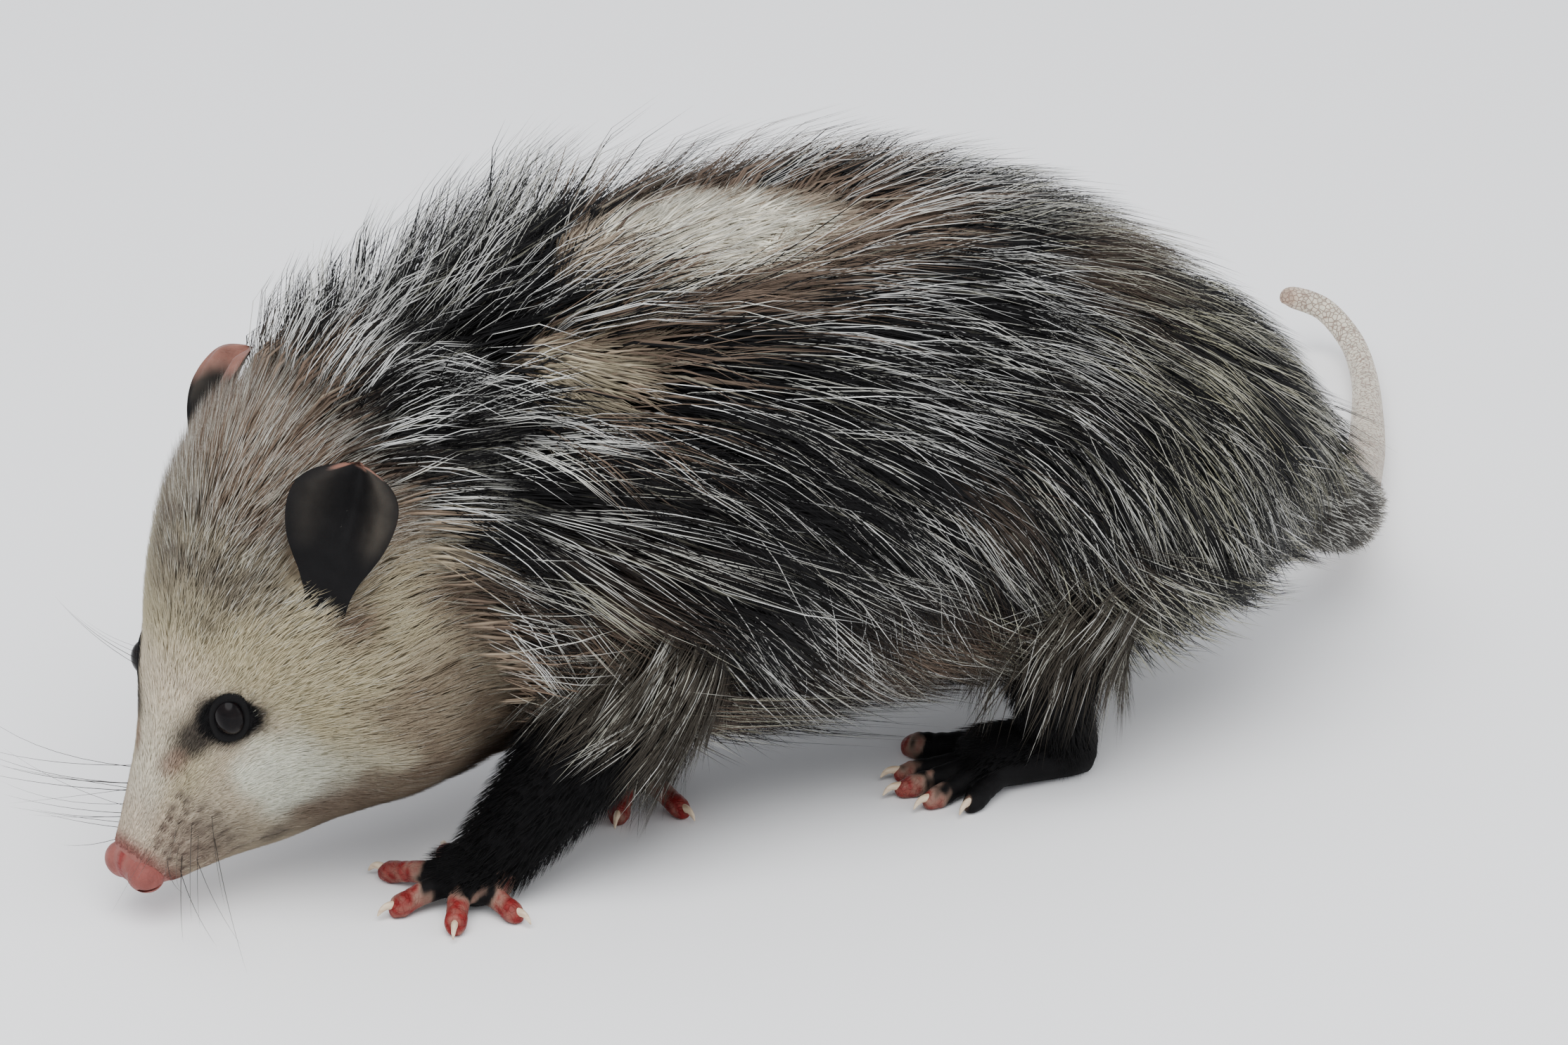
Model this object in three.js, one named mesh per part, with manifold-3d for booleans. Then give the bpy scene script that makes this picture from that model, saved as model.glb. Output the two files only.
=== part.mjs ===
// A Virginia opossum walking with its nose to the ground, life size and still, as a museum shows it.
// Sizes are millimetres, +Z is up, it faces -X, its left side is -Y, and the floor is Z = 0.
import * as THREE from "three";
import { mergeVertices } from "three/addons/utils/BufferGeometryUtils.js";
import Module from "manifold-3d";

const wasm = await Module();
wasm.setup();

const GAP = 0.3; // between two pieces that meet
const UP = new THREE.Vector3(0, 0, 1);
const TURN = 2 * Math.PI;
const rad = THREE.MathUtils.degToRad;
const lerp = THREE.MathUtils.lerp;
const vec = (x, y, z) => new THREE.Vector3(x, y, z);
const LEFT = 1;
const RIGHT = -1;
// The middle of the whole animal on the floor, in the numbers used below. It becomes the origin.
const MIDDLE = vec(28.5, 64.8, 0);

// The head, from the nose back to the nape. It hangs steeply and turns a little to the left.
const NOSE = vec(-228, -6, 13.5);
const HEAD_PITCH = rad(47);
const HEAD_YAW = rad(6);
const HEAD_ROLL = rad(10);
const HEAD_BACK = vec(
  Math.cos(HEAD_PITCH) * Math.cos(HEAD_YAW),
  Math.cos(HEAD_PITCH) * Math.sin(HEAD_YAW),
  Math.sin(HEAD_PITCH),
);
const HEAD_UP = UP.clone().addScaledVector(HEAD_BACK, -UP.dot(HEAD_BACK)).normalize();

// Each row: distance from the nose, rise, half width, height over and under the middle, and keel,
// which narrows the top and widens the bottom.
const HEAD_ROWS = [
  [0, 0, 5.8, 5.2, 5.2, 0],
  [4, 0, 9.2, 8.2, 9.8, 0],
  [10.5, 0, 11.8, 11.2, 15, 0.05],
  [19, 0.5, 14.8, 15.4, 23, 0.12],
  [30, 1, 19.7, 20.8, 34.5, 0.18],
  [42, 2, 25.6, 27.8, 43.5, 0.2],
  [53, 3, 32.4, 35.5, 51.5, 0.18],
  [65, 4, 40, 45, 59, 0.15],
  [79, 4, 45.5, 52.5, 65.5, 0.1],
  [93, 3, 49, 57, 72.5, 0.05],
  [107, 1, 50, 57, 77, 0],
];
// Each row: the middle of the body, half width, height over and under it.
const BODY_ROWS = [
  [-136, 3, 98, 51, 54, 77],
  [-116, 3, 104, 54.5, 52, 76],
  [-92, 2, 108, 58.5, 53, 71],
  [-62, 1, 110, 63, 57, 74],
  [-28, 0, 109, 67, 58, 75],
  [8, 0, 105, 69, 56, 71],
  [42, 0, 99, 68, 51, 65],
  [72, 0, 91, 62, 44, 56],
  [98, 0, 82, 52, 34, 45],
  [118, 1, 73, 38, 21, 34],
  [131, 2, 67, 20, 11, 19],
];
// How far each row is tilted nose down. The bend is spread so that no row crosses the next.
const TILTS = [47, 47, 47, 47, 47, 46, 44, 41, 37, 32, 26, 20, 14, 9, 5, 2, 0, -3, -8, -14, -19, -22];
const TRUNK = [
  ...HEAD_ROWS.map(([back, rise, wide, over, under, keel]) => {
    const middle = NOSE.clone().addScaledVector(HEAD_BACK, back).addScaledVector(HEAD_UP, rise);
    return [middle.x, middle.y, middle.z, wide, over, under, keel];
  }),
  ...BODY_ROWS.map((row) => [...row, 0]),
].map((row, k) => [...row, rad(TILTS[k])]);
const TRUNK_END = TRUNK.length - 1;
const NAPE = HEAD_ROWS.length - 1;
const HEAD_CUT = NAPE - 0.4;
const NECK_CUT = NAPE + 2.4;

// Swellings of the trunk: place along it, angle from the top, spread in both, and height.
const SWELLINGS = [
  [2.6, rad(98), 1.1, 0.5, 1.4], // whisker pad
  [5.3, rad(38), 0.8, 0.35, 1.6], // brow
  [7.6, rad(108), 1.5, 0.55, 3.5], // cheek
  [NAPE + 3.2, rad(100), 1.2, 0.5, 4], // shoulder
  [NAPE + 8, rad(108), 1.3, 0.6, 5], // thigh
];

// Places on the head: how far along the trunk, and the angle from the top.
const EYE_AT = [5.5, rad(49.6)];
const EYE_RADIUS = 5.2;
const EYE_SINK = 2.6;
const LID_RADIUS = 5.3;
const LID_THICK = 1.15;
// Each ear's place, its length and half width, how far it leans out and back, and how far its cup's
// opening is turned from straight ahead out to the side.
const EARS = {
  left_ear: {
    t: 8.63, angle: rad(53.5), long: 40, wide: 14.5, lean: rad(11), back: rad(6), turn: rad(52),
  },
  right_ear: {
    t: 9.2, angle: -rad(57), long: 36.5, wide: 11, lean: rad(4), back: rad(14), turn: rad(3),
  },
};
const EAR_SINK = 11;
const EAR_THICK = 1.3;
// The line of the mouth: how far along the trunk, and the angle from the top, from the corner forwards.
const MOUTH = [
  [4.2, rad(126)],
  [3.7, rad(121)],
  [3.2, rad(118)],
  [2.7, rad(118)],
  [2.3, rad(122)],
  [1.85, rad(132)],
  [1.5, rad(150)],
  [1.35, rad(180)],
];
const MOUTH_GROOVE = 0.65;
const LIP = 1.1;

// Each row: a point on the middle of the tail, and its radius.
const TAIL = [
  [112, 2, 68, 16],
  [140, 6, 52, 13.5],
  [166, 22, 35, 11.5],
  [190, 50, 21, 9.6],
  [215, 82, 12, 7.8],
  [238, 112, 8.5, 6.4],
  [258, 142, 7, 5.4],
  [275, 170, 6.6, 4.7],
  [285, 193, 9.5, 4.4],
  [284, 208, 16, 4.2],
  [274, 212, 21, 3.9],
  [269, 210, 22, 2],
];
const TAIL_PARTS = 5;

// The coat. How far its locks' tips stand off the trunk at the top, the side and the bottom, and how much
// more at the lower side, for each row of the trunk from the nape back.
const COAT_ROWS = [
  [11, 8, 8, 2],
  [15, 11, 13, 5],
  [18, 13, 17, 9],
  [22, 14, 19, 12],
  [24, 13, 18, 10],
  [25, 13, 17, 5],
  [23, 13, 16, 3],
  [20, 13, 16, 5],
  [16, 13, 16, 9],
  [13, 12, 14, 7],
  [11, 11, 12, 2],
  [10, 10, 10, 0],
];
const LOW = rad(122); // where the lower side is, from the top
const LOW_FAN = rad(26);
const LOCK_LENGTH = 74;
const LOCK_WIDE = 14.2;
const LOCK_THICK = 5;
const TIER = 40; // from one ring of locks to the next
const COLUMN = 28; // from one lock to the next, round the body
// Each row: how far along a lock, how high as a share of the coat, and its width and thickness.
const LOCK_ROWS = [
  [0, -0.6, 0.8, 1],
  [0.25, 0.14, 1, 1],
  [0.5, 0.62, 0.92, 0.85],
  [0.76, 0.9, 0.6, 0.6],
  [1, 1, 0.05, 0.15],
];
// The parting on the back: place along the trunk and angle from the top, and its half sizes.
const PARTING = { t: 14.6, angle: rad(24), long: 1.25, fan: rad(11) };

const LEGS = {
  left_foreleg: [[-78, -33, 84, 22], [-93, -39, 60, 20], [-115, -41, 36, 16.5], [-140, -39, 10, 10.5]],
  right_foreleg: [[-84, 38, 84, 22], [-86, 34, 60, 17], [-79, 20, 34, 13], [-70, 8, 10, 9]],
  left_hind_leg: [[66, -34, 86, 28], [34, -45, 62, 22], [31, -46, 34, 14], [37, -41, 9, 9]],
  right_hind_leg: [[88, 34, 86, 28], [72, 46, 62, 22], [88, 49, 34, 14], [98, 48, 9, 9]],
};

// Each foot: the points down its sole as x, y, height and half width, then its toes. A toe has its tip
// and how thick it is.
const FEET = {
  left_forefoot: {
    sole: [[-134, -38, 7, 7], [-139, -38, 7.6, 11], [-146, -37, 7, 12], [-151, -36, 5, 8]],
    toes: [[-139, -10, 3], [-160, -14, 3.1], [-168, -38, 3.2], [-158, -57, 3.1], [-139, -58, 3]],
    clawless: -1,
  },
  right_forefoot: {
    sole: [[-62, 9, 7, 7], [-67, 8, 7.6, 11], [-74, 6, 7, 12], [-79, 5, 5, 8]],
    toes: [[-64, 34, 3], [-83, 28, 3.1], [-97, 5, 3.2], [-89, -15, 3.1], [-70, -20, 3]],
    clawless: -1,
  },
  left_hind_foot: {
    sole: [[46, -42, 7, 6], [40, -41, 8, 9], [28, -38, 8, 12], [17, -35, 7, 14], [11, -34, 5, 11]],
    toes: [[4, -9, 3.9], [-7, -24, 3.1], [-12, -34, 3.2], [-9, -45, 3.2], [0, -53, 3.1]],
    clawless: 0,
  },
  right_hind_foot: {
    sole: [[108, 49, 7, 6], [101, 48, 8, 9], [87, 48, 8, 12], [75, 47, 7, 14], [69, 46, 5, 11]],
    toes: [[61, 20, 3.9], [50, 35, 3.1], [46, 46, 3.2], [49, 57, 3.2], [58, 67, 3.1]],
    clawless: 0,
  },
};
const CLAW_LENGTH = 4.8;
const CLAW_RADIUS = 1.5;

// A smooth curve through evenly numbered values.
function spline(values, t) {
  const last = values.length - 1;
  const i = Math.max(0, Math.min(Math.floor(t), last - 1));
  const f = t - i;
  const at = (k) => {
    if (k < 0) return 2 * values[0] - values[1];
    return k > last ? 2 * values[last] - values[last - 1] : values[k];
  };
  const [a, b, c, d] = [at(i - 1), at(i), at(i + 1), at(i + 2)];
  return b + 0.5 * f * (c - a + f * (2 * a - 5 * b + 4 * c - d + f * (3 * (b - c) + d - a)));
}

const columns = (rows) => rows[0].map((_, k) => rows.map((row) => row[k]));
const pathAt = (cols, t) => vec(spline(cols[0], t), spline(cols[1], t), spline(cols[2], t));
const headingAt = (cols, t) => pathAt(cols, t + 0.02).sub(pathAt(cols, t - 0.02)).normalize();

// The left and up of something that heads along a direction, rolled about it.
function frameOf(along, roll = 0) {
  const side = along.clone().cross(UP).normalize();
  const up = side.clone().cross(along).applyAxisAngle(along, roll);
  return { along, side: side.applyAxisAngle(along, roll), up };
}

const trunkColumns = columns(TRUNK);

// The directions of the trunk. It turns and rolls as it tilts.
function trunkAxes(t) {
  const tilt = spline(trunkColumns[7], t);
  const bent = Math.max(0, tilt) / HEAD_PITCH;
  const yaw = HEAD_YAW * bent;
  const along = vec(Math.cos(tilt) * Math.cos(yaw), Math.cos(tilt) * Math.sin(yaw), Math.sin(tilt));
  return frameOf(along, HEAD_ROLL * bent);
}

// A point on the trunk: t counts the rows from the nose, angle runs from the top to the left side.
function trunkPoint(t, angle, grow = 0) {
  const { side, up } = trunkAxes(t);
  const [wide, over, under, keel] = [3, 4, 5, 6].map((k) => spline(trunkColumns[k], t));
  const [s, c] = [Math.sin(angle), Math.cos(angle)];
  let swell = grow;
  for (const [at, turn, spread, fan, height] of SWELLINGS) {
    for (const hand of [LEFT, RIGHT]) {
      const off = Math.atan2(Math.sin(angle - hand * turn), Math.cos(angle - hand * turn));
      swell += height * Math.exp(-(((t - at) / spread) ** 2) - (off / fan) ** 2);
    }
  }
  return pathAt(trunkColumns, t)
    .addScaledVector(side, s * (wide * (1 - keel * c) + swell))
    .addScaledVector(up, c * ((c > 0 ? over : under) + swell));
}

// A point on the trunk with the directions out of it, back along it, and round it to the left.
function trunkFrame(t, angle) {
  const step = 0.01;
  const back = trunkPoint(t + step, angle).sub(trunkPoint(t - step, angle)).normalize();
  const round = trunkPoint(t, angle + step).sub(trunkPoint(t, angle - step)).normalize();
  return { point: trunkPoint(t, angle), back, round, out: round.clone().cross(back).normalize() };
}

// A closed solid from rings of points. A ring of one point closes an end.
function solidFrom(rings) {
  const position = rings.flat().flatMap((p) => [p.x, p.y, p.z]);
  const start = [];
  rings.reduce((sum, ring) => (start.push(sum), sum + ring.length), 0);
  const index = [];
  for (let i = 0; i + 1 < rings.length; i++) {
    const [a, b] = [rings[i].length, rings[i + 1].length];
    const sides = Math.max(a, b);
    for (let j = 0; j < sides; j++) {
      const k = (j + 1) % sides;
      const [a0, a1] = [start[i] + (j % a), start[i] + (k % a)];
      const [b0, b1] = [start[i + 1] + (j % b), start[i + 1] + (k % b)];
      if (a > 1) index.push(a0, b0, a1);
      if (b > 1) index.push(a1, b0, b1);
    }
  }
  const geometry = new THREE.BufferGeometry();
  geometry.setAttribute("position", new THREE.Float32BufferAttribute(position, 3));
  geometry.setIndex(index);
  return solidOf(geometry);
}

function solidOf(geometry) {
  const plain = geometry.clone();
  plain.deleteAttribute("normal");
  plain.deleteAttribute("uv");
  const merged = mergeVertices(plain, 1e-4);
  const vertProperties = merged.attributes.position.array;
  const make = (triVerts) => new wasm.Manifold(new wasm.Mesh({ numProp: 3, vertProperties, triVerts }));
  const triangles = new Uint32Array(merged.index.array);
  const made = make(triangles);
  if (made.volume() > 0) return made;
  for (let i = 0; i < triangles.length; i += 3) {
    [triangles[i + 1], triangles[i + 2]] = [triangles[i + 2], triangles[i + 1]];
  }
  return make(triangles);
}

const middleOf = (ring) => ring.reduce((sum, p) => sum.add(p), vec(0, 0, 0)).divideScalar(ring.length);
const closed = (rings) => solidFrom([[middleOf(rings[0])], ...rings, [middleOf(rings.at(-1))]]);
const join = (pieces) => wasm.Manifold.union(pieces);
const largest = (solid) => solid.decompose().sort((a, b) => b.volume() - a.volume())[0];
const onFloor = (solid) => solid.trimByPlane([0, 0, 1], 0);

function trunkPart(from, to, rings, sides, grow = 0) {
  const made = [];
  for (let i = 0; i <= rings; i++) {
    const t = from + ((to - from) * i) / rings;
    made.push(Array.from({ length: sides }, (_, j) => trunkPoint(t, (j * TURN) / sides, grow)));
  }
  return closed(made);
}

// Cuts a solid off square to the trunk at t, and keeps the front or the back, half a gap away.
function cutAt(solid, t, keep) {
  const { along } = trunkAxes(t);
  const facing = along.multiplyScalar(keep === "front" ? -1 : 1);
  return solid.trimByPlane(facing.toArray(), facing.dot(pathAt(trunkColumns, t)) + GAP / 2);
}

// A tube through points [x, y, z, radius], or [x, y, z, half width, half height].
function tube(points, steps, sides, grow = 0, from = 0, to = points.length - 1) {
  const cols = columns(points);
  const rings = [];
  let side = frameOf(headingAt(cols, from)).side;
  for (let i = 0; i <= steps; i++) {
    const t = from + ((to - from) * i) / steps;
    const along = headingAt(cols, t);
    side = side.clone().addScaledVector(along, -side.dot(along)).normalize();
    const up = side.clone().cross(along);
    const wide = spline(cols[3], t) + grow;
    const high = cols[4] ? spline(cols[4], t) + grow : wide;
    const middle = pathAt(cols, t);
    const ring = [];
    for (let j = 0; j < sides; j++) {
      const angle = (j * TURN) / sides;
      const across = middle.clone().addScaledVector(side, wide * Math.sin(angle));
      ring.push(across.addScaledVector(up, high * Math.cos(angle)));
    }
    rings.push(ring);
  }
  return closed(rings);
}

// A ball, or an egg with its own half lengths along three directions.
function ball(middle, radius, shape = {}, fine = 16) {
  const { along = vec(1, 0, 0), side = vec(0, -1, 0), up = UP, sizes = [1, 1, 1] } = shape;
  const geometry = new THREE.SphereGeometry(radius, fine, fine / 2);
  const basis = new THREE.Matrix4().makeBasis(
    along.clone().multiplyScalar(sizes[0]),
    side.clone().multiplyScalar(sizes[1]),
    up.clone().multiplyScalar(sizes[2]),
  );
  return solidOf(geometry.applyMatrix4(basis.setPosition(middle)));
}

let seed = 3;
function random() {
  seed = (seed * 16807) % 2147483647;
  return seed / 2147483647;
}
const around = (middle, spread) => middle + spread * (2 * random() - 1);

const coatColumns = columns(COAT_ROWS);

function coatDepth(t, angle) {
  const c = Math.cos(angle);
  const [top, side, bottom, low] = coatColumns.map((col) => spline(col, Math.max(0, t - NAPE)));
  const offLow = (Math.acos(c) - LOW) / LOW_FAN;
  return side * (1 - c * c) + (c > 0 ? top : bottom) * c * c + low * Math.exp(-offLow * offLow);
}

// How long a step is along the trunk and round it.
function stepSizes(t, angle) {
  const step = 0.01;
  return {
    perRow: trunkPoint(t + step, angle).distanceTo(trunkPoint(t - step, angle)) / (2 * step),
    perTurn: trunkPoint(t, angle + step).distanceTo(trunkPoint(t, angle - step)) / (2 * step),
  };
}

// A flat, tapered lock. It lies back and down, and climbs from under the trunk's surface to its tip.
function lock({ t, angle, length, wide, thick, depth, turn, bend }, grow = 0) {
  const place = { t, angle };
  const rings = LOCK_ROWS.map(([share, height, width, depthShare], k) => {
    if (k > 0) {
      const run = length * (share - LOCK_ROWS[k - 1][0]);
      const heading = turn + bend * share;
      const { perRow, perTurn } = stepSizes(place.t, place.angle);
      place.t += (run * Math.cos(heading)) / perRow;
      place.angle += (run * Math.sin(heading)) / perTurn;
    }
    const { point, out, back, round } = trunkFrame(Math.min(place.t, TRUNK_END - 0.1), place.angle);
    const heading = turn + bend * share;
    const across = round.multiplyScalar(Math.cos(heading)).addScaledVector(back, -Math.sin(heading));
    const middle = point.addScaledVector(out, height * depth);
    const halfWide = wide * width + grow;
    const halfThick = 0.5 * thick * depthShare + grow;
    const at = (a, b) => middle.clone().addScaledVector(across, a).addScaledVector(out, b);
    return [at(halfWide, 0), at(0, halfThick), at(-halfWide, 0), at(0, -halfThick)];
  });
  return closed(rings);
}

function inParting(t, angle) {
  const { t: middle, angle: turn, long, fan } = PARTING;
  return Math.hypot((t - middle) / long, (angle - turn) / fan) < 1;
}

// Rings of locks from one place on the trunk to another, each ring set between those of the last.
function locksPlan(from, to) {
  const plan = [];
  let t = from;
  for (let tier = 0; t < to; tier++) {
    const girth = Array.from({ length: 16 }, (_, k) => stepSizes(t, (k * TURN) / 16).perTurn);
    const count = Math.round((girth.reduce((a, b) => a + b) * TURN) / 16 / COLUMN);
    for (let k = 0; k < count; k++) {
      const turned = ((k + (tier % 2) / 2) * TURN) / count;
      const angle = around(turned > Math.PI ? turned - TURN : turned, 0.05);
      const hand = Math.sign(angle);
      const side = Math.sin(Math.abs(angle));
      const choice = {
        t: around(t, 0.12),
        angle,
        length: around(LOCK_LENGTH, 8),
        wide: around(LOCK_WIDE, 1.5),
        thick: LOCK_THICK,
        depth: around(coatDepth(t + 1, angle), 1),
        turn: hand * rad(10 + 34 * side),
        bend: around(0, 0.22),
      };
      if (!inParting(choice.t, choice.angle)) plan.push(choice);
    }
    t += TIER / stepSizes(t, Math.PI / 2).perRow;
  }
  return plan;
}

const FURS = {
  pale: { color: "#b3a68c", roughness: 0.95 },
  dark: { color: "#33322f", roughness: 0.95 },
  black: { color: "#161514", roughness: 0.9 },
  pink: { color: "#c9807a", roughness: 0.55 },
  ear: { color: "#2a2627", roughness: 0.7 },
  eye: { color: "#0a0a0b", roughness: 0.1 },
  tail: { color: "#c8b3a3", roughness: 0.6 },
  claw: { color: "#d9c9b0", roughness: 0.4 },
};
const model = new THREE.Group();

function addNode(name, solid, fur) {
  const { numProp, vertProperties, triVerts, numVert } = largest(solid).getMesh();
  const position = new Float32Array(numVert * 3);
  for (let i = 0; i < numVert; i++) {
    position.set(vertProperties.subarray(i * numProp, i * numProp + 3), 3 * i);
  }
  const geometry = new THREE.BufferGeometry();
  geometry.setAttribute("position", new THREE.BufferAttribute(position, 3));
  geometry.setIndex(new THREE.BufferAttribute(triVerts, 1));
  geometry.computeVertexNormals();
  const mesh = new THREE.Mesh(geometry, new THREE.MeshStandardMaterial({ ...FURS[fur], metalness: 0 }));
  mesh.name = name;
  mesh.position.copy(MIDDLE).negate();
  model.add(mesh);
}

// The head's own directions, for what is set on it.
const headAxes = frameOf(HEAD_BACK, HEAD_ROLL);
const onHead = (back, left, up) =>
  NOSE.clone()
    .addScaledVector(HEAD_BACK, back)
    .addScaledVector(headAxes.side, left)
    .addScaledVector(headAxes.up, up);

function nosePad(grow) {
  const egg = (back, left, up, radius, sizes) =>
    ball(onHead(back, left, up), radius + grow, { ...headAxes, sizes }, 10);
  return join([
    egg(3, 0, 0.5, 7.2, [0.75, 1, 0.95]),
    egg(1.8, 4.4, 1.2, 4.9, [0.95, 1, 1]),
    egg(1.8, -4.4, 1.2, 4.9, [0.95, 1, 1]),
  ]);
}

function noseCuts() {
  const nostril = (hand) => [
    [...onHead(-4, hand * 8, 0.4).toArray(), 1.2],
    [...onHead(-0.5, hand * 6.6, 0.6).toArray(), 1.3],
    [...onHead(2, hand * 4.8, 1.2).toArray(), 1.1],
  ];
  const groove = [
    [...onHead(-3, 0, 7).toArray(), 0.5],
    [...onHead(-2.8, 0, 1).toArray(), 0.8],
    [...onHead(-2, 0, -7).toArray(), 0.7],
  ];
  return join([tube(nostril(LEFT), 4, 6), tube(nostril(RIGHT), 4, 6), tube(groove, 4, 6)]);
}

// A rod that follows a line on the trunk.
function rodOn(line, radius, shift, sink, hand) {
  const points = line.map(([t, angle]) => {
    const place = trunkPoint(t, hand * (angle + shift), -sink);
    return [...place.toArray(), radius];
  });
  return tube(points, 8, 4);
}

function eye(hand) {
  const [t, angle] = EYE_AT;
  const { point, out, back, round } = trunkFrame(t, hand * angle);
  return { middle: point.addScaledVector(out, -EYE_SINK), out, back, round };
}

function lids(hand) {
  const { middle, out, back, round } = eye(hand);
  const geometry = new THREE.TorusGeometry(LID_RADIUS, LID_THICK, 5, 16);
  geometry.scale(1.06, 0.92, 1);
  const basis = new THREE.Matrix4().makeBasis(back, round, out);
  return solidOf(geometry.applyMatrix4(basis.setPosition(middle.clone().addScaledVector(out, 2.5))));
}

// An ear is rolled up at its root and opens into a thin cup. Each ring runs along the outside of the cup
// and back along the inside.
function ear({ t, angle, long, wide, lean, back, turn: aside }) {
  const hand = Math.sign(angle);
  const axis = vec(Math.sin(back), -hand * Math.sin(lean), Math.cos(lean) * Math.cos(back)).normalize();
  const facing = vec(-Math.cos(aside), -hand * Math.sin(aside), 0);
  facing.addScaledVector(axis, -facing.dot(axis)).normalize();
  const across = axis.clone().cross(facing);
  const root = trunkPoint(t, angle).addScaledVector(axis, -EAR_SINK);
  const halfWidths = [0.36, 0.42, 0.55, 0.74, 0.9, 0.99, 1, 0.9, 0.66, 0.22];
  const rolls = [80, 84, 86, 80, 70, 60, 52, 46, 42, 40];
  const rings = [];
  const steps = 10;
  const points = 7;
  for (let i = 0; i <= steps; i++) {
    const v = i / steps;
    const row = v * (halfWidths.length - 1);
    const fan = rad(spline(rolls, row));
    const radius = (wide * spline(halfWidths, row)) / Math.sin(fan);
    const filled = THREE.MathUtils.clamp(1.45 - v / 0.38, 0, 1);
    const rise = long * Math.sin((v * Math.PI) / 2.15) ** 1.05;
    const spine = root.clone().addScaledVector(axis, rise).addScaledVector(facing, -6 * v * v - 4);
    const outer = [];
    const inner = [];
    for (let j = 0; j < points; j++) {
      const turn = fan * ((2 * j) / (points - 1) - 1);
      const [s, c] = [Math.sin(turn), Math.cos(turn)];
      const place = (r, forward) =>
        spine.clone().addScaledVector(across, r * s).addScaledVector(facing, forward);
      const thin = place(radius - EAR_THICK, radius - (radius - EAR_THICK) * c);
      const chord = place(radius, radius * (1 - Math.cos(fan)) + EAR_THICK);
      outer.push(place(radius, radius * (1 - c)));
      inner.unshift(thin.lerp(chord, filled));
    }
    rings.push([...outer, ...inner]);
  }
  return closed(rings);
}

// The head, with the nose, eyes and ears that are set into it.
const eyes = { left_eye: eye(LEFT), right_eye: eye(RIGHT) };
const sockets = Object.values(eyes).map(({ middle }) => ball(middle, EYE_RADIUS + GAP, {}, 14));
const mouths = [LEFT, RIGHT];
const head = join([
  cutAt(trunkPart(0.4, HEAD_CUT + 0.4, 20, 22), HEAD_CUT, "front"),
  lids(LEFT),
  lids(RIGHT),
  ...mouths.map((hand) => rodOn(MOUTH.slice(0, 6), LIP, -0.075, 0.35, hand)),
  ...mouths.map((hand) => rodOn(MOUTH.slice(0, 6), LIP, 0.085, 0.35, hand)),
]);
const grooves = mouths.map((hand) => rodOn(MOUTH, MOUTH_GROOVE, 0, 0.1, hand));
addNode("head", head.subtract(join([...sockets, nosePad(GAP), ...grooves])), "pale");
addNode("nose", nosePad(0).subtract(noseCuts()), "pink");
for (const [name, { middle }] of Object.entries(eyes)) addNode(name, ball(middle, EYE_RADIUS, {}, 14), "eye");
const headGrown = cutAt(trunkPart(0.4, HEAD_CUT + 0.4, 20, 22, GAP), HEAD_CUT, "front");

const legs = (grow) => Object.values(LEGS).map((path) => tube(path, 6, 10, grow));
const tailStep = (TAIL.length - 1) / TAIL_PARTS;
const tailGap = GAP / 25;
const tailPart = (k, grow) => tube(TAIL, 6, 10, grow, k * tailStep, (k + 1) * tailStep - tailGap);
const torsoBare = (grow) => cutAt(trunkPart(NECK_CUT - 0.4, TRUNK_END, 14, 22, grow), NECK_CUT, "back");
const torsoGrown = torsoBare(GAP);
const neckBare = (grow) => cutAt(trunkPart(HEAD_CUT - 0.4, NECK_CUT + 0.4, 6, 22, grow), HEAD_CUT, "back");
const neckGrown = neckBare(GAP);
const trunkGrown = join([torsoGrown, neckGrown]);

// The neck and the torso with their locks. The neck's locks lie over the torso's, which are cut to them.
const neckPlan = locksPlan(HEAD_CUT + 0.35, NECK_CUT - 0.2);
const torsoPlan = locksPlan(NECK_CUT + 0.35, TRUNK_END - 1.4);
const limbsGrown = [...legs(2 * GAP), tailPart(0, GAP)];
const neck = join([cutAt(neckBare(0), NECK_CUT, "front"), ...neckPlan.map((plan) => lock(plan))]);
addNode("neck", neck.subtract(join([torsoGrown, headGrown, ...limbsGrown])), "dark");
const neckLocksGrown = neckPlan.map((plan) => lock(plan, GAP));
for (const [name, plan] of Object.entries(EARS)) {
  addNode(name, ear(plan).subtract(join([headGrown, neckGrown, ...neckLocksGrown])), "ear");
}
const torsoLocks = join(torsoPlan.map((plan) => lock(plan)));
const torso = join([torsoBare(0), torsoLocks.subtract(join([...limbsGrown, ...neckLocksGrown]))]);
addNode("torso", torso, "dark");
for (let k = 0; k < TAIL_PARTS; k++) {
  addNode(`tail_${k + 1}`, k ? tailPart(k, 0) : tailPart(0, 0).subtract(trunkGrown), "tail");
}

// Feet, toes and claws.
function toePath([x, y, radius], sole) {
  const [fromX, fromY] = sole[2];
  const at = (share, height, thick) => [
    lerp(fromX, x, share),
    lerp(fromY, y, share),
    height,
    thick * radius,
  ];
  return [
    at(0, 6.2, 1.15),
    at(0.45, radius + 2.4, 1.1),
    at(0.72, radius + 0.9, 1),
    at(0.92, radius - 0.5, 1),
    at(1, radius - 0.5, 0.45),
  ];
}

function foot({ sole, toes }, grow) {
  const pad = sole.map(([x, y, height, wide]) => [x, y, height, wide, height + 0.9]);
  return onFloor(join([
    tube(pad, 5, 8, grow),
    ...toes.map((toe) => tube(toePath(toe, sole), 4, 6, grow)),
  ]));
}

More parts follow.
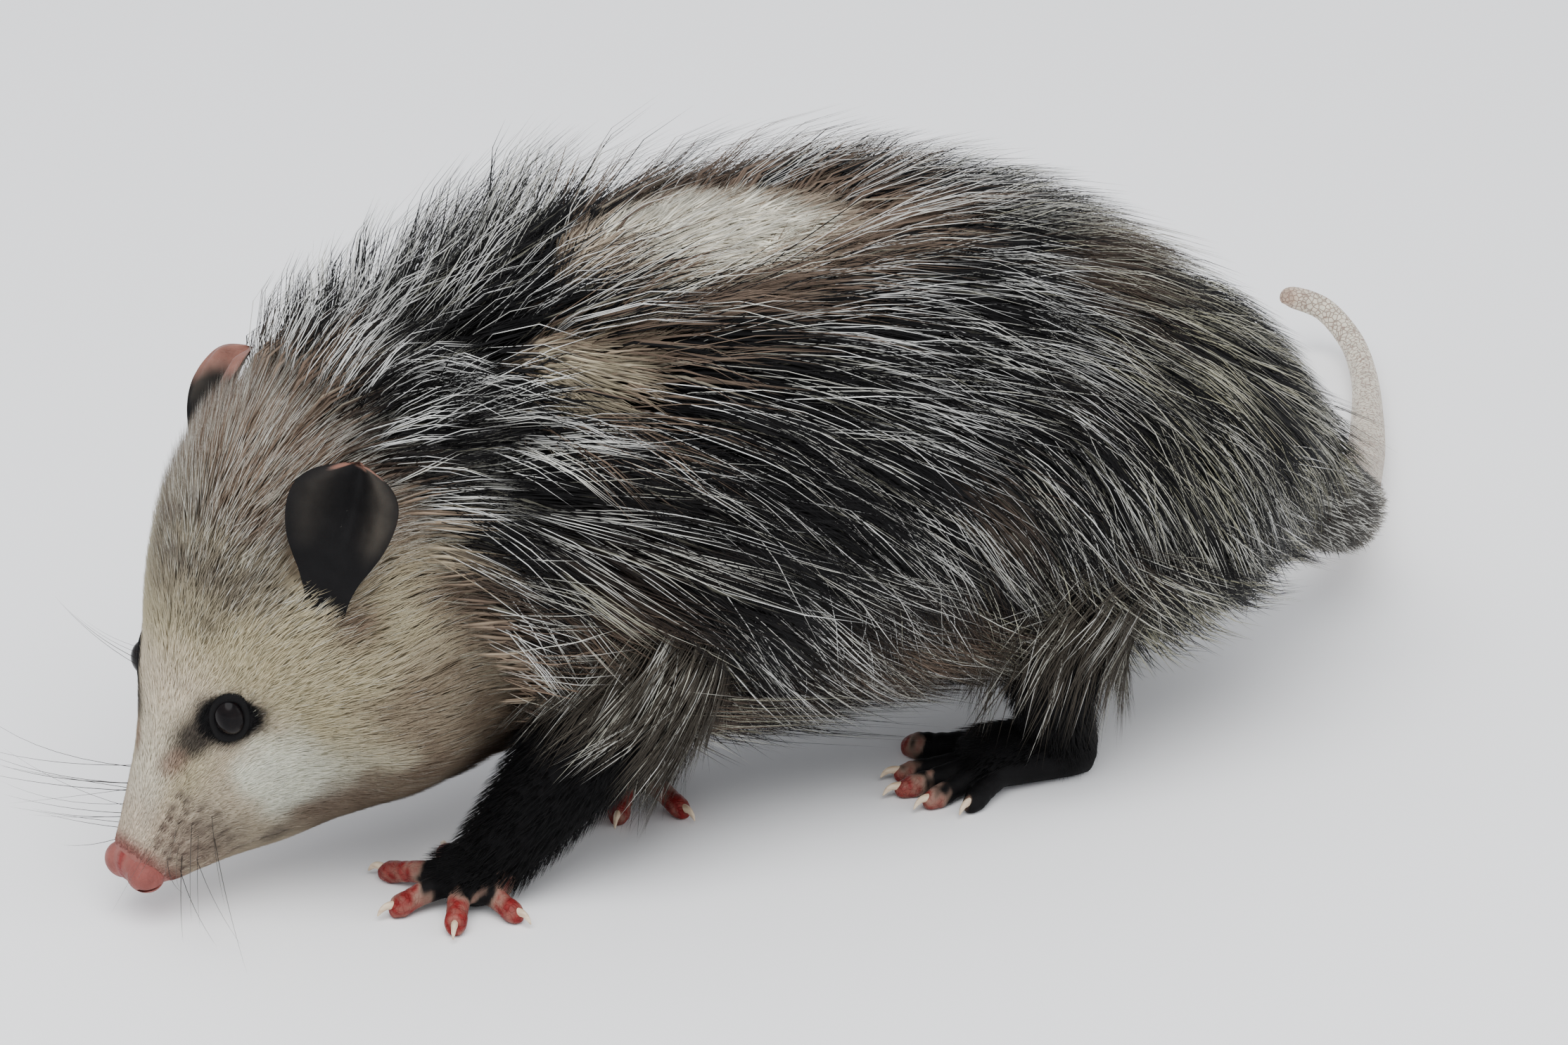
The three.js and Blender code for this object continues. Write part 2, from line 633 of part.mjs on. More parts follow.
function claw(toe, sole) {
  const path = toePath(toe, sole);
  const [x, y, z] = path.at(-1);
  const heading = vec(x, y, 0).sub(vec(sole[2][0], sole[2][1], 0)).normalize();
  const at = (reach, height, radius) => [x + heading.x * reach, y + heading.y * reach, height, radius];
  return tube([
    at(-2.5, z + 1, CLAW_RADIUS),
    at(0.5, z + 1.1, CLAW_RADIUS),
    at(0.6 * CLAW_LENGTH, z + 0.4, 0.75 * CLAW_RADIUS),
    at(CLAW_LENGTH, z - 1.2, 0.3),
  ], 3, 4);
}

for (const [name, plan] of Object.entries(FEET)) {
  const grown = foot(plan, GAP);
  const limb = name.replace("forefoot", "foreleg").replace("hind_foot", "hind_leg");
  addNode(name, foot(plan, 0), "pink");
  addNode(limb, onFloor(tube(LEGS[limb], 6, 10)).subtract(join([trunkGrown, grown])), "black");
  plan.toes.forEach((toe, k) => {
    if (k === plan.clawless) return;
    addNode(`${name}_claw_${k + 1}`, claw(toe, plan.sole).subtract(grown), "claw");
  });
}

export default model;
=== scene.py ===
import math

import bpy
import numpy as np
from mathutils import Matrix, kdtree


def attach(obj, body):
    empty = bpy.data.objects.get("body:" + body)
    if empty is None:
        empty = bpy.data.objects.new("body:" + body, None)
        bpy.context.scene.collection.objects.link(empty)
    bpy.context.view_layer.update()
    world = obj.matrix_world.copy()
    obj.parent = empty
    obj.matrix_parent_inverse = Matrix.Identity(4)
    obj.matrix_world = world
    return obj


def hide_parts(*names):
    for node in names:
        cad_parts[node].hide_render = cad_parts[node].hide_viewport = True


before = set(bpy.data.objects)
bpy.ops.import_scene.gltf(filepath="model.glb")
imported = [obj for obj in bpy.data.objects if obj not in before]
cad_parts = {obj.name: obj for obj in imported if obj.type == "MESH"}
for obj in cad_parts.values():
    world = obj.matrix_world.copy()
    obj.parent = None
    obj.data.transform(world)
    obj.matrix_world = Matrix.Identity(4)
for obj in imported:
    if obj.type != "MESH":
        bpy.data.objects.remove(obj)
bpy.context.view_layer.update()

MIDDLE = np.array([28.5, 64.8, 0.0])  # the middle of the animal, which becomes the origin
UP = np.array([0.0, 0.0, 1.0])
LEFT, RIGHT = 1, -1
rad = math.radians


def placed(points):
    """Millimetres to metres in the shared frame."""
    return (np.asarray(points, float) - MIDDLE) / 1000


def unit(v):
    return v / np.maximum(np.linalg.norm(v, axis=-1, keepdims=True), 1e-12)


def smooth(x, low, high):
    f = np.clip((np.asarray(x, float) - low) / (high - low), 0, 1)
    return f * f * (3 - 2 * f)


def bump(x, middle, spread):
    return np.exp(-(((x - middle) / spread) ** 2))


def drift(points, size, seed):
    """A slow random change from place to place, from about -1 to 1."""
    rng = np.random.default_rng(seed)
    total = np.zeros(len(points))
    for _ in range(6):
        wave = unit(rng.normal(size=3)) * 2 * math.pi / size * rng.uniform(0.6, 1.6)
        total += np.sin(points @ wave + rng.uniform(0, 2 * math.pi))
    return total / 3


def spline(values, t):
    """A smooth curve through evenly numbered values."""
    values = np.asarray(values, float)
    last = len(values) - 1
    t = np.asarray(t, float)
    i = np.clip(np.floor(t).astype(int), 0, last - 1)
    f = t - i
    padded = np.concatenate([[2 * values[0] - values[1]], values, [2 * values[last] - values[last - 1]]])
    a, b, c, d = padded[i], padded[i + 1], padded[i + 2], padded[i + 3]
    if values.ndim > 1:
        f = f[..., None]
    return b + 0.5 * f * (c - a + f * (2 * a - 5 * b + 4 * c - d + f * (3 * (b - c) + d - a)))


# The trunk: rows from the nose to the rump, as in the solids.
NOSE = np.array([-228.0, -6.0, 13.5])
HEAD_PITCH, HEAD_YAW, HEAD_ROLL = rad(47), rad(6), rad(10)
HEAD_BACK = np.array([
    math.cos(HEAD_PITCH) * math.cos(HEAD_YAW),
    math.cos(HEAD_PITCH) * math.sin(HEAD_YAW),
    math.sin(HEAD_PITCH),
])
HEAD_UP = unit(UP - HEAD_BACK * HEAD_BACK[2])
# back from the nose, up, half width, height above and below, and how much narrower the top is
HEAD_ROWS = [
    (0, 0, 5.8, 5.2, 5.2, 0),
    (4, 0, 9.2, 8.2, 9.8, 0),
    (10.5, 0, 11.8, 11.2, 15, 0.05),
    (19, 0.5, 14.8, 15.4, 23, 0.12),
    (30, 1, 19.7, 20.8, 34.5, 0.18),
    (42, 2, 25.6, 27.8, 43.5, 0.2),
    (53, 3, 32.4, 35.5, 51.5, 0.18),
    (65, 4, 40, 45, 59, 0.15),
    (79, 4, 45.5, 52.5, 65.5, 0.1),
    (93, 3, 49, 57, 72.5, 0.05),
    (107, 1, 50, 57, 77, 0),
]
# x, y, z, half width, height above and below
BODY_ROWS = [
    (-136, 3, 98, 51, 54, 77),
    (-116, 3, 104, 54.5, 52, 76),
    (-92, 2, 108, 58.5, 53, 71),
    (-62, 1, 110, 63, 57, 74),
    (-28, 0, 109, 67, 58, 75),
    (8, 0, 105, 69, 56, 71),
    (42, 0, 99, 68, 51, 65),
    (72, 0, 91, 62, 44, 56),
    (98, 0, 82, 52, 34, 45),
    (118, 1, 73, 38, 21, 34),
    (131, 2, 67, 20, 11, 19),
]
TILTS = np.radians([
    47, 47, 47, 47, 47, 46, 44, 41, 37, 32, 26, 20, 14, 9, 5, 2, 0, -3, -8, -14, -19, -22,
])
TRUNK = np.array(
    [[*(NOSE + HEAD_BACK * r[0] + HEAD_UP * r[1]), *r[2:]] for r in HEAD_ROWS]
    + [[*row, 0] for row in BODY_ROWS]
)
TRUNK = np.hstack([TRUNK, TILTS[:, None]])
TRUNK_END = len(TRUNK) - 1
NAPE = len(HEAD_ROWS) - 1
# whisker pads, brows, jowls, shoulders and haunches: row, turn from the top, reach along and round, height
SWELLINGS = [
    (2.6, rad(98), 1.1, 0.5, 1.4),
    (5.3, rad(38), 0.8, 0.35, 1.6),
    (7.6, rad(108), 1.5, 0.55, 3.5),
    (NAPE + 3.2, rad(100), 1.2, 0.5, 4),
    (NAPE + 8, rad(108), 1.3, 0.6, 5),
]
EYE_AT = (5.5, rad(49.6))
EYE_RADIUS = 5.2
EYE_SINK = 2.6
EARS = {
    "left_ear": {
        "t": 8.63, "angle": rad(53.5), "long": 40, "wide": 14.5,
        "lean": rad(11), "back": rad(6), "turn": rad(52),
    },
    "right_ear": {
        "t": 9.2, "angle": -rad(57), "long": 36.5, "wide": 11,
        "lean": rad(4), "back": rad(14), "turn": rad(3),
    },
}
EAR_SINK, EAR_THICK = 11, 1.2
# the line of the mouth, from its corner to below the nose: row of the trunk and degrees from the top
MOUTH = [
    (4.2, 126), (3.7, 121), (3.2, 118), (2.7, 118), (2.3, 122), (1.85, 132), (1.5, 150), (1.35, 180),
]
# x, y, z and radius, from the rump to the tip
TAIL = np.array([
    (112, 2, 68, 16), (140, 6, 52, 13.5), (166, 22, 35, 11.5), (190, 50, 21, 9.6),
    (215, 82, 12, 7.8), (238, 112, 8.5, 6.4), (258, 142, 7, 5.4), (275, 170, 6.6, 4.7),
    (285, 193, 9.5, 4.4), (284, 208, 16, 4.2), (274, 212, 21, 3.9), (269, 210, 22, 2),
])
# how far the coat stands out from the nape to the rump: at the top, the side, the bottom and the hem
COAT_ROWS = np.array([
    (11, 8, 8, 2), (15, 11, 13, 5), (18, 13, 17, 9), (22, 14, 19, 12), (24, 13, 18, 10), (25, 13, 17, 5),
    (23, 13, 16, 3), (20, 13, 16, 5), (16, 13, 16, 9), (13, 12, 14, 7), (11, 11, 12, 2), (10, 10, 10, 0),
])
HEM_TURN, HEM_FAN = rad(122), rad(26)
# x, y, z and radius, from the body down
LEGS = {
    "left_foreleg": [
        (-78, -33, 84, 22), (-93, -39, 60, 20), (-115, -41, 36, 16.5), (-140, -39, 10, 10.5),
    ],
    "right_foreleg": [(-84, 38, 84, 22), (-86, 34, 60, 17), (-79, 20, 34, 13), (-70, 8, 10, 9)],
    "left_hind_leg": [(66, -34, 86, 28), (34, -45, 62, 22), (31, -46, 34, 14), (37, -41, 9, 9)],
    "right_hind_leg": [(88, 34, 86, 28), (72, 46, 62, 22), (88, 49, 34, 14), (98, 48, 9, 9)],
}
# sole: x, y, half height and half width. toes: x and y of the tip, and radius.
FEET = {
    "left_forefoot": {
        "sole": [(-134, -38, 7, 7), (-139, -38, 7.6, 11), (-146, -37, 7, 12), (-151, -36, 5, 8)],
        "toes": [(-139, -10, 3), (-160, -14, 3.1), (-168, -38, 3.2), (-158, -57, 3.1), (-139, -58, 3)],
        "clawless": -1,
    },
    "right_forefoot": {
        "sole": [(-62, 9, 7, 7), (-67, 8, 7.6, 11), (-74, 6, 7, 12), (-79, 5, 5, 8)],
        "toes": [(-64, 34, 3), (-83, 28, 3.1), (-97, 5, 3.2), (-89, -15, 3.1), (-70, -20, 3)],
        "clawless": -1,
    },
    "left_hind_foot": {
        "sole": [(46, -42, 7, 6), (40, -41, 8, 9), (28, -38, 8, 12), (17, -35, 7, 14), (11, -34, 5, 11)],
        "toes": [(4, -9, 3.9), (-7, -24, 3.1), (-12, -34, 3.2), (-9, -45, 3.2), (0, -53, 3.1)],
        "clawless": 0,
    },
    "right_hind_foot": {
        "sole": [(108, 49, 7, 6), (101, 48, 8, 9), (87, 48, 8, 12), (75, 47, 7, 14), (69, 46, 5, 11)],
        "toes": [(61, 20, 3.9), (50, 35, 3.1), (46, 46, 3.2), (49, 57, 3.2), (58, 67, 3.1)],
        "clawless": 0,
    },
}
WHISKER_REACH = -256.0  # no whisker reaches further ahead than this
# The partings on the back: place along the trunk, angle from the top, and half sizes.
PARTINGS = [(13.95, rad(8), 0.95, rad(22)), (12.3, rad(36), 0.5, rad(11))]


def trunk_axes(t):
    """The trunk's own sizes at a row, and the directions back along it, to its left and up."""
    v = spline(TRUNK, t)
    tilt = v[..., 7]
    bent = np.maximum(0, tilt) / HEAD_PITCH
    yaw = HEAD_YAW * bent
    along = np.stack([np.cos(tilt) * np.cos(yaw), np.cos(tilt) * np.sin(yaw), np.sin(tilt)], -1)
    side = unit(np.cross(along, UP))
    up = np.cross(side, along)
    c, s = np.cos(HEAD_ROLL * bent)[..., None], np.sin(HEAD_ROLL * bent)[..., None]

    def rolled(w):
        return w * c + np.cross(along, w) * s + along * np.sum(along * w, -1, keepdims=True) * (1 - c)

    return v, along, rolled(side), rolled(up)


def trunk(t, angle, grow=0.0):
    """Points on the trunk: t counts the rows from the nose, angle runs from the top to the left side."""
    t, angle, grow = np.broadcast_arrays(np.asarray(t, float), np.asarray(angle, float), grow)
    v, _, side, up = trunk_axes(t)
    s, c = np.sin(angle), np.cos(angle)
    swell = grow.astype(float)
    for at, turn, spread, fan, height in SWELLINGS:
        for hand in (LEFT, RIGHT):
            off = np.arctan2(np.sin(angle - hand * turn), np.cos(angle - hand * turn))
            swell = swell + height * np.exp(-(((t - at) / spread) ** 2) - (off / fan) ** 2)
    across = s * (v[..., 3] * (1 - v[..., 6] * c) + swell)
    rise = c * (np.where(c > 0, v[..., 4], v[..., 5]) + swell)
    return v[..., :3] + side * across[..., None] + up * rise[..., None]


def trunk_frame(t, angle):
    """The directions out of the trunk, back along it and round it, and how long a step is each way."""
    h = 0.01
    back = (trunk(t + h, angle) - trunk(t - h, angle)) / (2 * h)
    round_ = (trunk(t, angle + h) - trunk(t, angle - h)) / (2 * h)
    out = unit(np.cross(round_, back))
    return out, unit(back), unit(round_), np.linalg.norm(back, axis=-1), np.linalg.norm(round_, axis=-1)


def eye_middle(hand):
    t, angle = np.array(EYE_AT[0]), np.array(hand * EYE_AT[1])
    out, back, round_, _, _ = trunk_frame(t, angle)
    return trunk(t, angle) - out * EYE_SINK, out, back, round_


EYES = {hand: eye_middle(hand) for hand in (LEFT, RIGHT)}
_, _, HEAD_SIDE, HEAD_TOP = trunk_axes(np.array(0.0))


def on_head(back, left, up):
    return NOSE + HEAD_BACK * back + HEAD_SIDE * left + HEAD_TOP * up


def coat_depth(t, angle):
    """How far the coat's tips stand off the solids' core."""
    c = np.cos(angle)
    top, side, bottom, low = np.moveaxis(spline(COAT_ROWS, np.clip(t - NAPE, 0, 11)), -1, 0)
    off = (np.arccos(np.clip(c, -1, 1)) - HEM_TURN) / HEM_FAN
    return side * (1 - c * c) + np.where(c > 0, top, bottom) * c * c + low * np.exp(-off * off)


# row of the trunk, and how deep the skin lies inside the solids there
SKIN_DEPTHS = [
    (0.4, 0.1), (1.2, 0.3), (3, 0.6), (5, 0.9), (7, 1.7), (8.6, 3.2),
    (9.6, 5.5), (10.6, 12), (17, 12), (18.6, 8), (20, 5), (21, 4),
]


def by_row(t, rows):
    """The value at each place along the trunk, from pairs of row and value."""
    return np.interp(t, [row[0] for row in rows], [row[1] for row in rows])


def skin_depth(t, points):
    """How far the skin lies inside the solids: a little on the muzzle, and deep under the long coat."""
    depth = by_row(t, SKIN_DEPTHS)
    for middle, _, _, _ in EYES.values():
        depth = depth * (1 - 0.8 * bump(np.linalg.norm(points - middle, axis=-1), 0, 11))
    return depth


# Markings. Each is a share from 0 to 1 over a cream ground. The skin and the coat read the same ones.
MARKS = ("white", "olive", "dusk", "brown", "black", "pink", "red", "bare", "scaly")


def no_marks(count):
    return {name: np.zeros(count) for name in MARKS}


mouth_line = spline(np.array(MOUTH, float), np.linspace(0, len(MOUTH) - 1, 90))
MOUTH_POINTS = {
    hand: trunk(mouth_line[:, 0], hand * np.radians(mouth_line[:, 1])) for hand in (LEFT, RIGHT)
}


def far_from(points, line):
    """The distance from each point to the nearest of a line's points."""
    result = np.full(len(points), 99.0)
    for place in line:
        result = np.minimum(result, np.linalg.norm(points - place, axis=1))
    return result


def whisker_spots(hand):
    """The places of the whiskers on the muzzle, in rows."""
    spots = []
    rng = np.random.default_rng(51)
    for row in range(5):
        for k in range(6):
            t = 1.75 + 0.32 * k + 0.1 * (row % 2) + rng.uniform(-0.09, 0.09)
            angle = rad(50 + 12.5 * row - 1.5 * k + rng.uniform(-3, 3))
            spots.append((t, hand * angle, row, k))
    return spots


SPOTS = [spot for hand in (LEFT, RIGHT) for spot in whisker_spots(hand)]
SPOT_POINTS = trunk(np.array([s[0] for s in SPOTS]), np.array([s[1] for s in SPOTS]))


def in_parting(t, angle, grow=1.0):
    """Which places lie in a parting, whose edge is ragged."""
    inside = np.zeros(len(t), bool)
    for middle, turn, long, fan in PARTINGS:
        x, y = (t - middle) / long, (angle - turn) / fan
        way = np.arctan2(y, x)
        ragged = 1 + 0.16 * np.sin(3 * way + 1) + 0.09 * np.sin(8 * way) + 0.06 * np.sin(17 * way)
        inside |= np.hypot(x, y) < grow * ragged
    return inside


def deepen(marks, name, share):
    marks[name] = np.maximum(marks[name], share)


def head_marks(marks, t, turn, t_soft, wander, fine):
    """The pale face, white cheek, dusky crown and brown jowl."""
    below, above = turn + 5 * fine, 1 - smooth(turn, 50, 75)
    cheek = smooth(below, 58 + 4 * np.clip(t - 5.2, 0, 3), 74) * (1 - smooth(below, 104, 124))
    marks["white"] = 0.95 * cheek * smooth(t_soft, 3.9, 4.7) * (1 - smooth(t_soft, 6.3, 7.3))
    deepen(marks, "white", 0.35 * bump(t, 3.2, 1.4) * (1 - smooth(turn, 20, 40)))
    deepen(marks, "white", 0.55 * bump(t, 8.95, 0.35) * bump(turn, 74, 11))
    sides = 1 - 0.45 * smooth(turn, 76, 110)
    marks["olive"] = smooth(t_soft, 5.2, 6.6) * (1 - smooth(t_soft, 9.4, 10.6)) * sides
    deepen(marks, "olive", 0.8 * bump(t_soft, 3.9, 0.9) * bump(turn, 42, 17))
    behind = np.clip(t - 6, 0, 4)
    crown = 1 - smooth(turn + 7 * wander, 20 + 4 * behind, 40 + 6 * behind)
    marks["dusk"] = 0.95 * crown * smooth(t_soft, 5.8, 7.4) * (0.88 + 0.12 * fine)
    deepen(marks, "dusk", 0.95 * (bump(t_soft, 7.15, 0.45) * bump(turn + 4 * fine, 6, 18)))
    marks["brown"] = 0.85 * smooth(t_soft, 7.5, 8.8) * above
    deepen(marks, "brown", 0.93 * smooth(t_soft, 8.7, 9.9) * smooth(turn, 45, 75))
    deepen(marks, "brown", 0.9 * smooth(t_soft, 6.2, 8.2) * smooth(turn, 108, 130))
    deepen(marks, "brown", 0.78 * smooth(t_soft, 3.9, 5.0) * smooth(turn + 4 * fine, 101, 117))
    deepen(marks, "brown", 0.62 * smooth(t_soft, 6.6, 7.8) * smooth(below, 74, 98))
    deepen(marks, "brown", 0.93 * bump(t, 8.15, 0.42) * bump(turn, 66, 9))


def body_marks(marks, t, angle, points, turn, t_soft, fine):
    """The black body with its rusty places."""
    rusty = bump(t_soft, 14.6, 0.75) * bump(turn, 120, 15) * (angle > 0)
    rusty = np.maximum(rusty, bump(t_soft, 11.2, 0.5) * bump(turn + 9 * fine, 104, 18))
    rusty = np.maximum(rusty, in_parting(t, angle, 1.22) * 0.9)
    rusty = np.maximum(rusty, 0.4 * smooth(drift(points, 52, 13), 0.7, 1.1) * (t > 12))
    deepen(marks, "brown", 0.8 * rusty)
    edge = 9.5 - 0.25 * np.cos(np.radians(turn)) + 1.0 * smooth(turn, 88, 125)
    marks["black"] = smooth(t_soft, edge, edge + 0.85) * (1 - 0.72 * rusty)


def eye_marks(marks, angle, points, fine):
    """The black ring round each eye, the dark patch ahead of it and the blush ahead of that."""
    for hand, (middle, out, back, round_) in EYES.items():
        off = points - middle
        ahead, low = -(off @ back), (off @ round_) * hand
        long = np.where(ahead > 0, ahead / 1.3, ahead * 1.12)
        ring = np.sqrt(long ** 2 + (low * 1.05) ** 2 + (off @ out) ** 2 * 0.3)
        near = np.sign(angle) == hand
        deepen(marks, "black", near * (1 - smooth(ring + 0.3 * fine, 7.0, 9.2)))
        deepen(marks, "dusk", near * 0.9 * (1 - smooth(ring + 0.5 * fine, 7.6, 11.5)))
        shadow = 1 - smooth(np.hypot((ahead - 11) / 1.5, low + 2.6) + 0.5 * fine, 2.0, 7.5)
        deepen(marks, "dusk", 0.97 * shadow * near)
        deepen(marks, "black", 0.5 * shadow * near)
        blush = 1 - smooth(np.hypot((ahead - 22) / 1.5, low + 2.2), 1.0, 4.8)
        deepen(marks, "brown", 0.55 * blush * near)
        deepen(marks, "pink", 0.3 * blush * near)


def muzzle_marks(marks, t, points, turn, fine):
    """The mouth line and its corner, the whisker spots and their dusky pad, and the pink tip."""
    ahead = t < 5
    for line in MOUTH_POINTS.values():
        lip = far_from(points, line)
        deepen(marks, "dusk", 0.96 * bump(lip, 0, 1.3) * ahead)
        deepen(marks, "black", 0.9 * bump(lip, 0, 0.6) * ahead)
        corner = np.linalg.norm(points - line[8], axis=1)
        deepen(marks, "dusk", 0.95 * bump(corner, 0, 4.5))
    deepen(marks, "dusk", 0.97 * bump(far_from(points, SPOT_POINTS), 0, 1.25) * ahead)
    mottle = 0.75 + 0.25 * drift(points, 4.5, 14)
    pad = 1.1 * bump(t, 2.65, 1.05) * bump(turn + 6 * fine, 86, 34) * mottle
    deepen(marks, "dusk", 0.85 * np.clip(pad, 0, 1))
    deepen(marks, "pink", 1 - smooth(t + 0.1 * fine, 0.9, 2.0))
    deepen(marks, "pink", 0.2 * bump(t, 2.2, 1.0))
    marks["bare"] = 1 - smooth(t, 0.7, 1.6)
    for name in ("white", "olive", "dusk"):
        marks[name] = marks[name] * (1 - marks["bare"])


def trunk_marks(t, angle, points):
    """The markings at places on the trunk."""
    t, angle = t.ravel(), np.arctan2(np.sin(angle), np.cos(angle)).ravel()
    points = points.reshape(-1, 3)
    turn = np.degrees(np.abs(angle))
    wander, fine = drift(points, 38, 11), drift(points, 12, 12)
    t_soft = t + 0.22 * wander + 0.08 * fine
    marks = no_marks(len(t))
    head_marks(marks, t, turn, t_soft, wander, fine)
    body_marks(marks, t, angle, points, turn, t_soft, fine)
    eye_marks(marks, angle, points, fine)
    muzzle_marks(marks, t, points, turn, fine)
    return {name: np.clip(value, 0, 1) for name, value in marks.items()}


# Meshes.
def circle(count):
    """Evenly spaced turns once round."""
    return np.arange(count) * 2 * math.pi / count


def grid_mesh(rings):
    """Points and faces of a closed tube from rings of equal count. A middle point closes each end."""
    count, around = rings.shape[:2]
    points = np.concatenate([rings.reshape(-1, 3), rings[:1].mean(1), rings[-1:].mean(1)])
    i, j = np.meshgrid(np.arange(count - 1), np.arange(around), indexing="ij")
    k = (j + 1) % around
    quads = np.stack([i * around + j, i * around + k, (i + 1) * around + k, (i + 1) * around + j], -1)
    faces = quads.reshape(-1, 4).tolist()
    first, last = count * around, count * around + 1
    ring = np.arange(around)
    after = (ring + 1) % around
    faces += np.stack([np.full(around, first), after, ring], -1).tolist()
    base = (count - 1) * around
    faces += np.stack([np.full(around, last), base + ring, base + after], -1).tolist()
    return points, faces


def volume(points, faces):
    """Six times the volume inside the faces, below 0 where they face inward."""
    total = 0.0
    for size in (3, 4):
        picked = np.array([f for f in faces if len(f) == size])
        for k in range(1, size - 1):
            if len(picked):
                a, b, c = points[picked[:, 0]], points[picked[:, k]], points[picked[:, k + 1]]
                total += np.sum(np.cross(a, b) * c)
    return total


def mesh_object(name, points, faces):
    if volume(points, faces) < 0:
        faces = [f[::-1] for f in faces]
    mesh = bpy.data.meshes.new(name)
    mesh.from_pydata(placed(points).tolist(), [], faces)
    mesh.update()
    made = bpy.data.objects.new(name, mesh)
    bpy.context.collection.objects.link(made)
    return made


def vertices(made):
    """The object's points, back in the animal's millimetres."""
    flat = np.empty(len(made.data.vertices) * 3, np.float32)
    made.data.vertices.foreach_get("co", flat)
    return flat.reshape(-1, 3).astype(float) * 1000 + MIDDLE


def applied(made):
    """Turns the object's modifiers into its mesh."""
    deps = bpy.context.evaluated_depsgraph_get()
    mesh = bpy.data.meshes.new_from_object(made.evaluated_get(deps))
    made.modifiers.clear()
    old = made.data
    made.data = mesh
    bpy.data.meshes.remove(old)
    return made


def discard(made):
    mesh = made.data
    bpy.data.objects.remove(made)
    bpy.data.meshes.remove(mesh)


def joined(made, others, operation="UNION"):
    for other in others:
        change = made.modifiers.new("join", "BOOLEAN")
        change.operation = operation
        change.solver = "MANIFOLD"
        change.object = other
        applied(made)
        discard(other)
    return made


def remeshed(made, size, rounds):
    """Joins parts that cross into one even skin."""
    change = made.modifiers.new("remesh", "REMESH")
    change.mode = "VOXEL"
    change.voxel_size = size / 1000
    soften = made.modifiers.new("soften", "SMOOTH")
    soften.factor = 0.5
    soften.iterations = rounds
    return applied(made)


def merged(name, parts):
    """One object from several closed forms, which may cross."""
    points, faces, start = [], [], 0
    for p, f in parts:
        if volume(p, f) < 0:
            f = [face[::-1] for face in f]
        points.append(p)
        faces += [[k + start for k in face] for face in f]
        start += len(p)
    return mesh_object(name, np.concatenate(points), faces)


def tube_rings(path, steps, sides, grow=0.0, wave=None):
    """Rings round a path of points [x, y, z, radius] or [x, y, z, half width, half height]."""
    path = np.asarray(path, float)
    ts = np.linspace(0, len(path) - 1, steps + 1)
    middle = spline(path[:, :3], ts)
    along = unit(spline(path[:, :3], ts + 0.02) - spline(path[:, :3], ts - 0.02))
    side = unit(np.cross(along[0], UP))
    rings = []
    turns = circle(sides)
    for k, t in enumerate(ts):
        side = unit(side - along[k] * (side @ along[k]))
        up = np.cross(side, along[k])
        wide = float(spline(path[:, 3], t)) + grow
        high = float(spline(path[:, 4], t)) + grow if path.shape[1] > 4 else wide
        if wave is not None:
            wide, high = wide * wave[k], high * wave[k]
        across, rise = np.outer(np.sin(turns) * wide, side), np.outer(np.cos(turns) * high, up)
        rings.append(middle[k] + across + rise)
    return np.array(rings)


def egg(middle, sizes, axes, fine=32):
    """A closed egg along three axes."""
    i, j = np.meshgrid(np.linspace(0.02, math.pi - 0.02, fine // 2), circle(fine), indexing="ij")
    ball = np.stack([np.cos(i), np.sin(i) * np.cos(j), np.sin(i) * np.sin(j)], -1) * sizes
    return grid_mesh(middle + ball @ np.array(axes))


def finished(made, material):
    made.data.polygons.foreach_set("use_smooth", [True] * len(made.data.polygons))
    made.data.materials.append(material)
    return made


ear_points = []
sources = []  # points of every form with their markings, which the joined skin takes over

# Rings and sides of the forms. The skin stays under the limit of triangles for one piece.
HEAD_RINGS, BODY_RINGS, TRUNK_SIDES = 172, 34, 200
TAIL_RINGS, TAIL_SIDES = 200, 36
LEG_RINGS, LEG_SIDES = 36, 40
TOE_RINGS, TOE_SIDES = 40, 18
EAR_RINGS, EAR_POINTS = 54, 41
NOSE_VOXEL, FOOT_VOXEL = 0.5, 0.82


def remember(points, marks):
    sources.append((points, np.stack([marks[name] for name in MARKS], -1)))


def trunk_form():
    """The head and body as one closed form, fine at the head."""
    head_start, head_end = 0.4, 9.7
    head_ts = np.linspace(head_start, head_end, HEAD_RINGS)
    ts = np.concatenate([head_ts, np.linspace(head_end, TRUNK_END, BODY_RINGS)[1:]])
    t, angle = np.meshgrid(ts, circle(TRUNK_SIDES), indexing="ij")
    surface = trunk(t, angle)
    out, _, _, _, _ = trunk_frame(t, angle)
    height = -skin_depth(t, surface)
    muzzle = ts < 5.4
    near = surface[muzzle].reshape(-1, 3)
    relief = np.zeros(len(near))
    for line in MOUTH_POINTS.values():
        lip = far_from(near, line)
        relief += 0.25 * bump(lip, 1.7, 1.0) - 0.7 * bump(lip, 0, 0.5)
    spot = far_from(near, SPOT_POINTS)
    relief += 0.1 * bump(spot, 0, 1.2) - 0.2 * bump(spot, 0, 0.45)
    height[muzzle] += relief.reshape(height[muzzle].shape)
    for middle, eye_out, _, _ in EYES.values():
        off = surface - middle
        ring = np.linalg.norm(off - (off @ eye_out)[..., None] * eye_out, axis=-1)
        facing = (off @ eye_out) > -6
        height += facing * 0.2 * bump(ring, 7.8, 1.4)
    points = surface + out * height[..., None]
    remember(points.reshape(-1, 3), trunk_marks(t, angle, surface))
    return mesh_object("skin", *grid_mesh(points))


